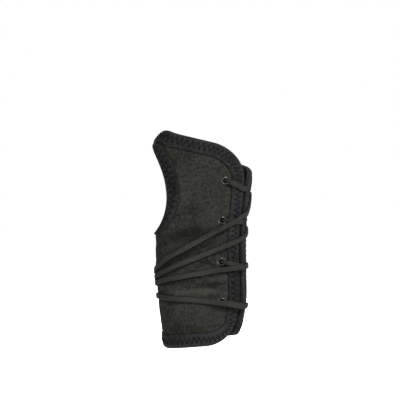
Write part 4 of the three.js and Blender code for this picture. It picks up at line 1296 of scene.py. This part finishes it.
def tape_finish(name, rib):
    finish = Finish(name, Roughness=0.9, Specular_IOR_Level=0.06)
    run, over = finish.pattern()
    mottle, slow = (finish.grain(run, over, cell) for cell in (TAPE_MOTTLE, TAPE_SLOW))
    beat = (run + ZIGZAG_PITCH * MM / 4).wave(ZIGZAG_PITCH * MM)
    near, far = ((1.0 - abs(abs(over) - row * MM) / NEEDLE_REACH).clamped()
                 for row in (ZIGZAG_NEAR, ZIGZAG_FAR))
    # Painted shade round each needle hole.
    needle = near * (beat * 1.6 - 0.6).clamped() + far * (beat * -1.6 - 0.6).clamped()
    # The mark adds patches of painted light and shade to the binding tape.
    shade = mottle * 2.0 + slow * 1.2 + 0.6 - needle * 0.7 + finish.mark("FadeAndShade")
    finish.drive(Base_Color=finish.mix(shade.clamped(), TAPE_DARK, TAPE_PALE))
    ribs = run.wave(rib) * 0.5 + (run + over).wave(2 * rib) * over.wave(2 * rib) * 0.5
    finish.bump(ribs * 0.5 + mottle * 0.5, 0.00016, 0.8)
    return finish.material


def thread_finish():
    finish = Finish("black_thread", Roughness=0.7, Specular_IOR_Level=0.06)
    twist = finish.speckle(THREAD_CELLS)
    finish.drive(Base_Color=finish.mix(twist, THREAD_DARK, THREAD_PALE))
    finish.bump(twist, 0.0001, 0.6)
    return finish.material


tape_look = tape_finish("binding_tape", BINDING_RIB)
webbing_look = tape_finish("tab_tape", WEBBING_RIB)
thread_look = thread_finish()
print(tape_look.name, webbing_look.name, thread_look.name)

# %% [markdown]
# ## Braid and metal
# The braid is a lighter grey and fuzzy, with painted shade away from the middle of the palm and where it is
# pinched.
# The eyelets are dark metal rubbed bright in places. Both could be one colour each, but the braid's finish
# follows the same chevrons as its shape, and the metal's shine changes with its wear.

# %% Braid and metal
BRAID_FUZZ, BRAID_SLOW = Cell(0.0013, 1 / 14, 6.1), Cell(0.016, 1 / 1.5, 8.2)
BRAID_DARK, BRAID_PALE = (0.0092, 0.0094, 0.0078, 1), (0.0268, 0.0272, 0.0232, 1)
METAL_DARK, METAL_PALE, METAL_CELLS = (0.035, 0.034, 0.033, 1), (0.11, 0.107, 0.102, 1), 420.0


def braid_finish():
    finish = Finish("grey_braid", Roughness=0.9, Specular_IOR_Level=0.06)
    run, around = finish.pattern()
    across = abs((around + 0.25).wave(1.0))
    strands = (run / (BRAID_PITCH * MM) + across * BRAID_SLANT).wave(1.0) * 0.5 + 0.5
    fuzz, slow = (finish.grain(run, around, cell) for cell in (BRAID_FUZZ, BRAID_SLOW))
    # The mark paints shade onto the braid.
    shade = strands * 0.3 + fuzz * 1.3 + slow * 0.7 + 0.34 - finish.mark("Dark")
    finish.drive(Base_Color=finish.mix(shade.clamped(), BRAID_DARK, BRAID_PALE))
    finish.bump(fuzz * 0.6 + strands * 0.4, 0.00015, 0.8)
    return finish.material


def metal_finish():
    finish = Finish("gunmetal", Metallic=1.0, Specular_IOR_Level=0.5)
    rub = ((finish.speckle(METAL_CELLS) - 0.4) * 3.0).clamped()
    finish.drive(Base_Color=finish.mix(rub, METAL_DARK, METAL_PALE), Roughness=0.2 + rub * 0.14)
    return finish.material


braid_look = braid_finish()
metal_look = metal_finish()
print(braid_look.name, metal_look.name)

# %% [markdown]
# ## Who rides what
# The brace has no hinge, so every piece rides on the one body, and each piece that stands for an imported
# solid hides it. The flat area of the canvas is worked out from the pattern.

# %% Ride and replace
AREA_STEPS = 2000


def dress(piece, look, slot, *nodes):
    """Gives a piece its finish and its body and hides the solid that it stands for, if any; slot is not
    used.
    """
    piece.data.materials.clear()
    piece.data.materials.append(look)
    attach(piece, "root")
    if nodes:
        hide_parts(*nodes)


dress(canvas, canvas_look, "canvas", "wrap")
for name in EDGES:
    dress(tapes[name], tape_look, "webbing", f"{name}_binding")
    dress(stitching[name], thread_look, "webbing")
for name, lace in laces.items():
    dress(lace, braid_look, "braid", f"{name}_lace")
for name, eyelet in eyelets.items():
    dress(eyelet, metal_look, "eyelet_metal", name)
dress(tab, webbing_look, "webbing", "lace_tab")
dress(tab_threads, thread_look, "webbing")
flat_u = np.linspace(-BACK_EDGE, PALM_EDGE, AREA_STEPS)
hole_u, hole_z = hole_at(np.linspace(0, 2 * math.pi, AREA_STEPS)).T
hole_area = abs(np.trapz(hole_z, hole_u))
flat_area = (np.trapz(top_at(flat_u) - bottom_at(flat_u), flat_u) - hole_area) * MM * MM

# %% [markdown]
# ## Studio
# The picture is lit softly before a plain white ground. One strong lamp would turn black cloth into hard
# patches, so a dome of white light fills every shadow, a small lamp from the right, above and in front
# draws the weave and the shade under each lace, and another lights the back. A pale floor lies below.

# %% Floor, dome and lamps
FLOOR_Z, FLOOR_SIZE = -165.0, 16.0
WHITE, PALE = (1, 1, 1, 1), (0.92, 0.92, 0.92, 1)
Lamp = namedtuple("Lamp", "name place size power")
LAMPS = [Lamp("key", (1.25, -1.5, 1.55), 0.3, 92.0), Lamp("back", (-0.6, 1.8, 1.35), 0.8, 55.0)]
drop_selection()
bpy.ops.mesh.primitive_plane_add(size=FLOOR_SIZE, location=(0, 0, FLOOR_Z * MM))
floor = bpy.context.object
floor.name = "pale_floor"
floor_look = Finish("pale_floor", Roughness=0.9, Base_Color=PALE, Emission_Strength=0.14,
                    Emission_Color=WHITE, Specular_IOR_Level=0.0)
floor.data.materials.append(floor_look.material)
floor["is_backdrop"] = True
world = bpy.data.worlds.new("white_dome")
world.use_nodes = True
dome = world.node_tree.nodes["Background"].inputs
dome["Color"].default_value = WHITE
dome["Strength"].default_value = 1.0
bpy.context.scene.world = world
for lamp in LAMPS:
    bpy.ops.object.light_add(type="AREA", location=lamp.place)
    light = bpy.context.object
    light.name = lamp.name + "_lamp"
    light.data.size = lamp.size
    light.data.energy = lamp.power
    light.rotation_euler = (-Vector(lamp.place)).to_track_quat("-Z", "Y").to_euler()
bpy.context.scene.view_settings.view_transform = "Standard"
print(len(LAMPS), "lamps")

# %% [markdown]
# ## The size of the dressed brace
# Cloth may stand a little proud of the imported solids. That could be judged by eye, but the box of
# the visible pieces is printed here in millimetres.

# %% Print the visual box
low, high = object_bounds()
print("visual box", [round(v * 1000, 1) for v in low], [round(v * 1000, 1) for v in high])
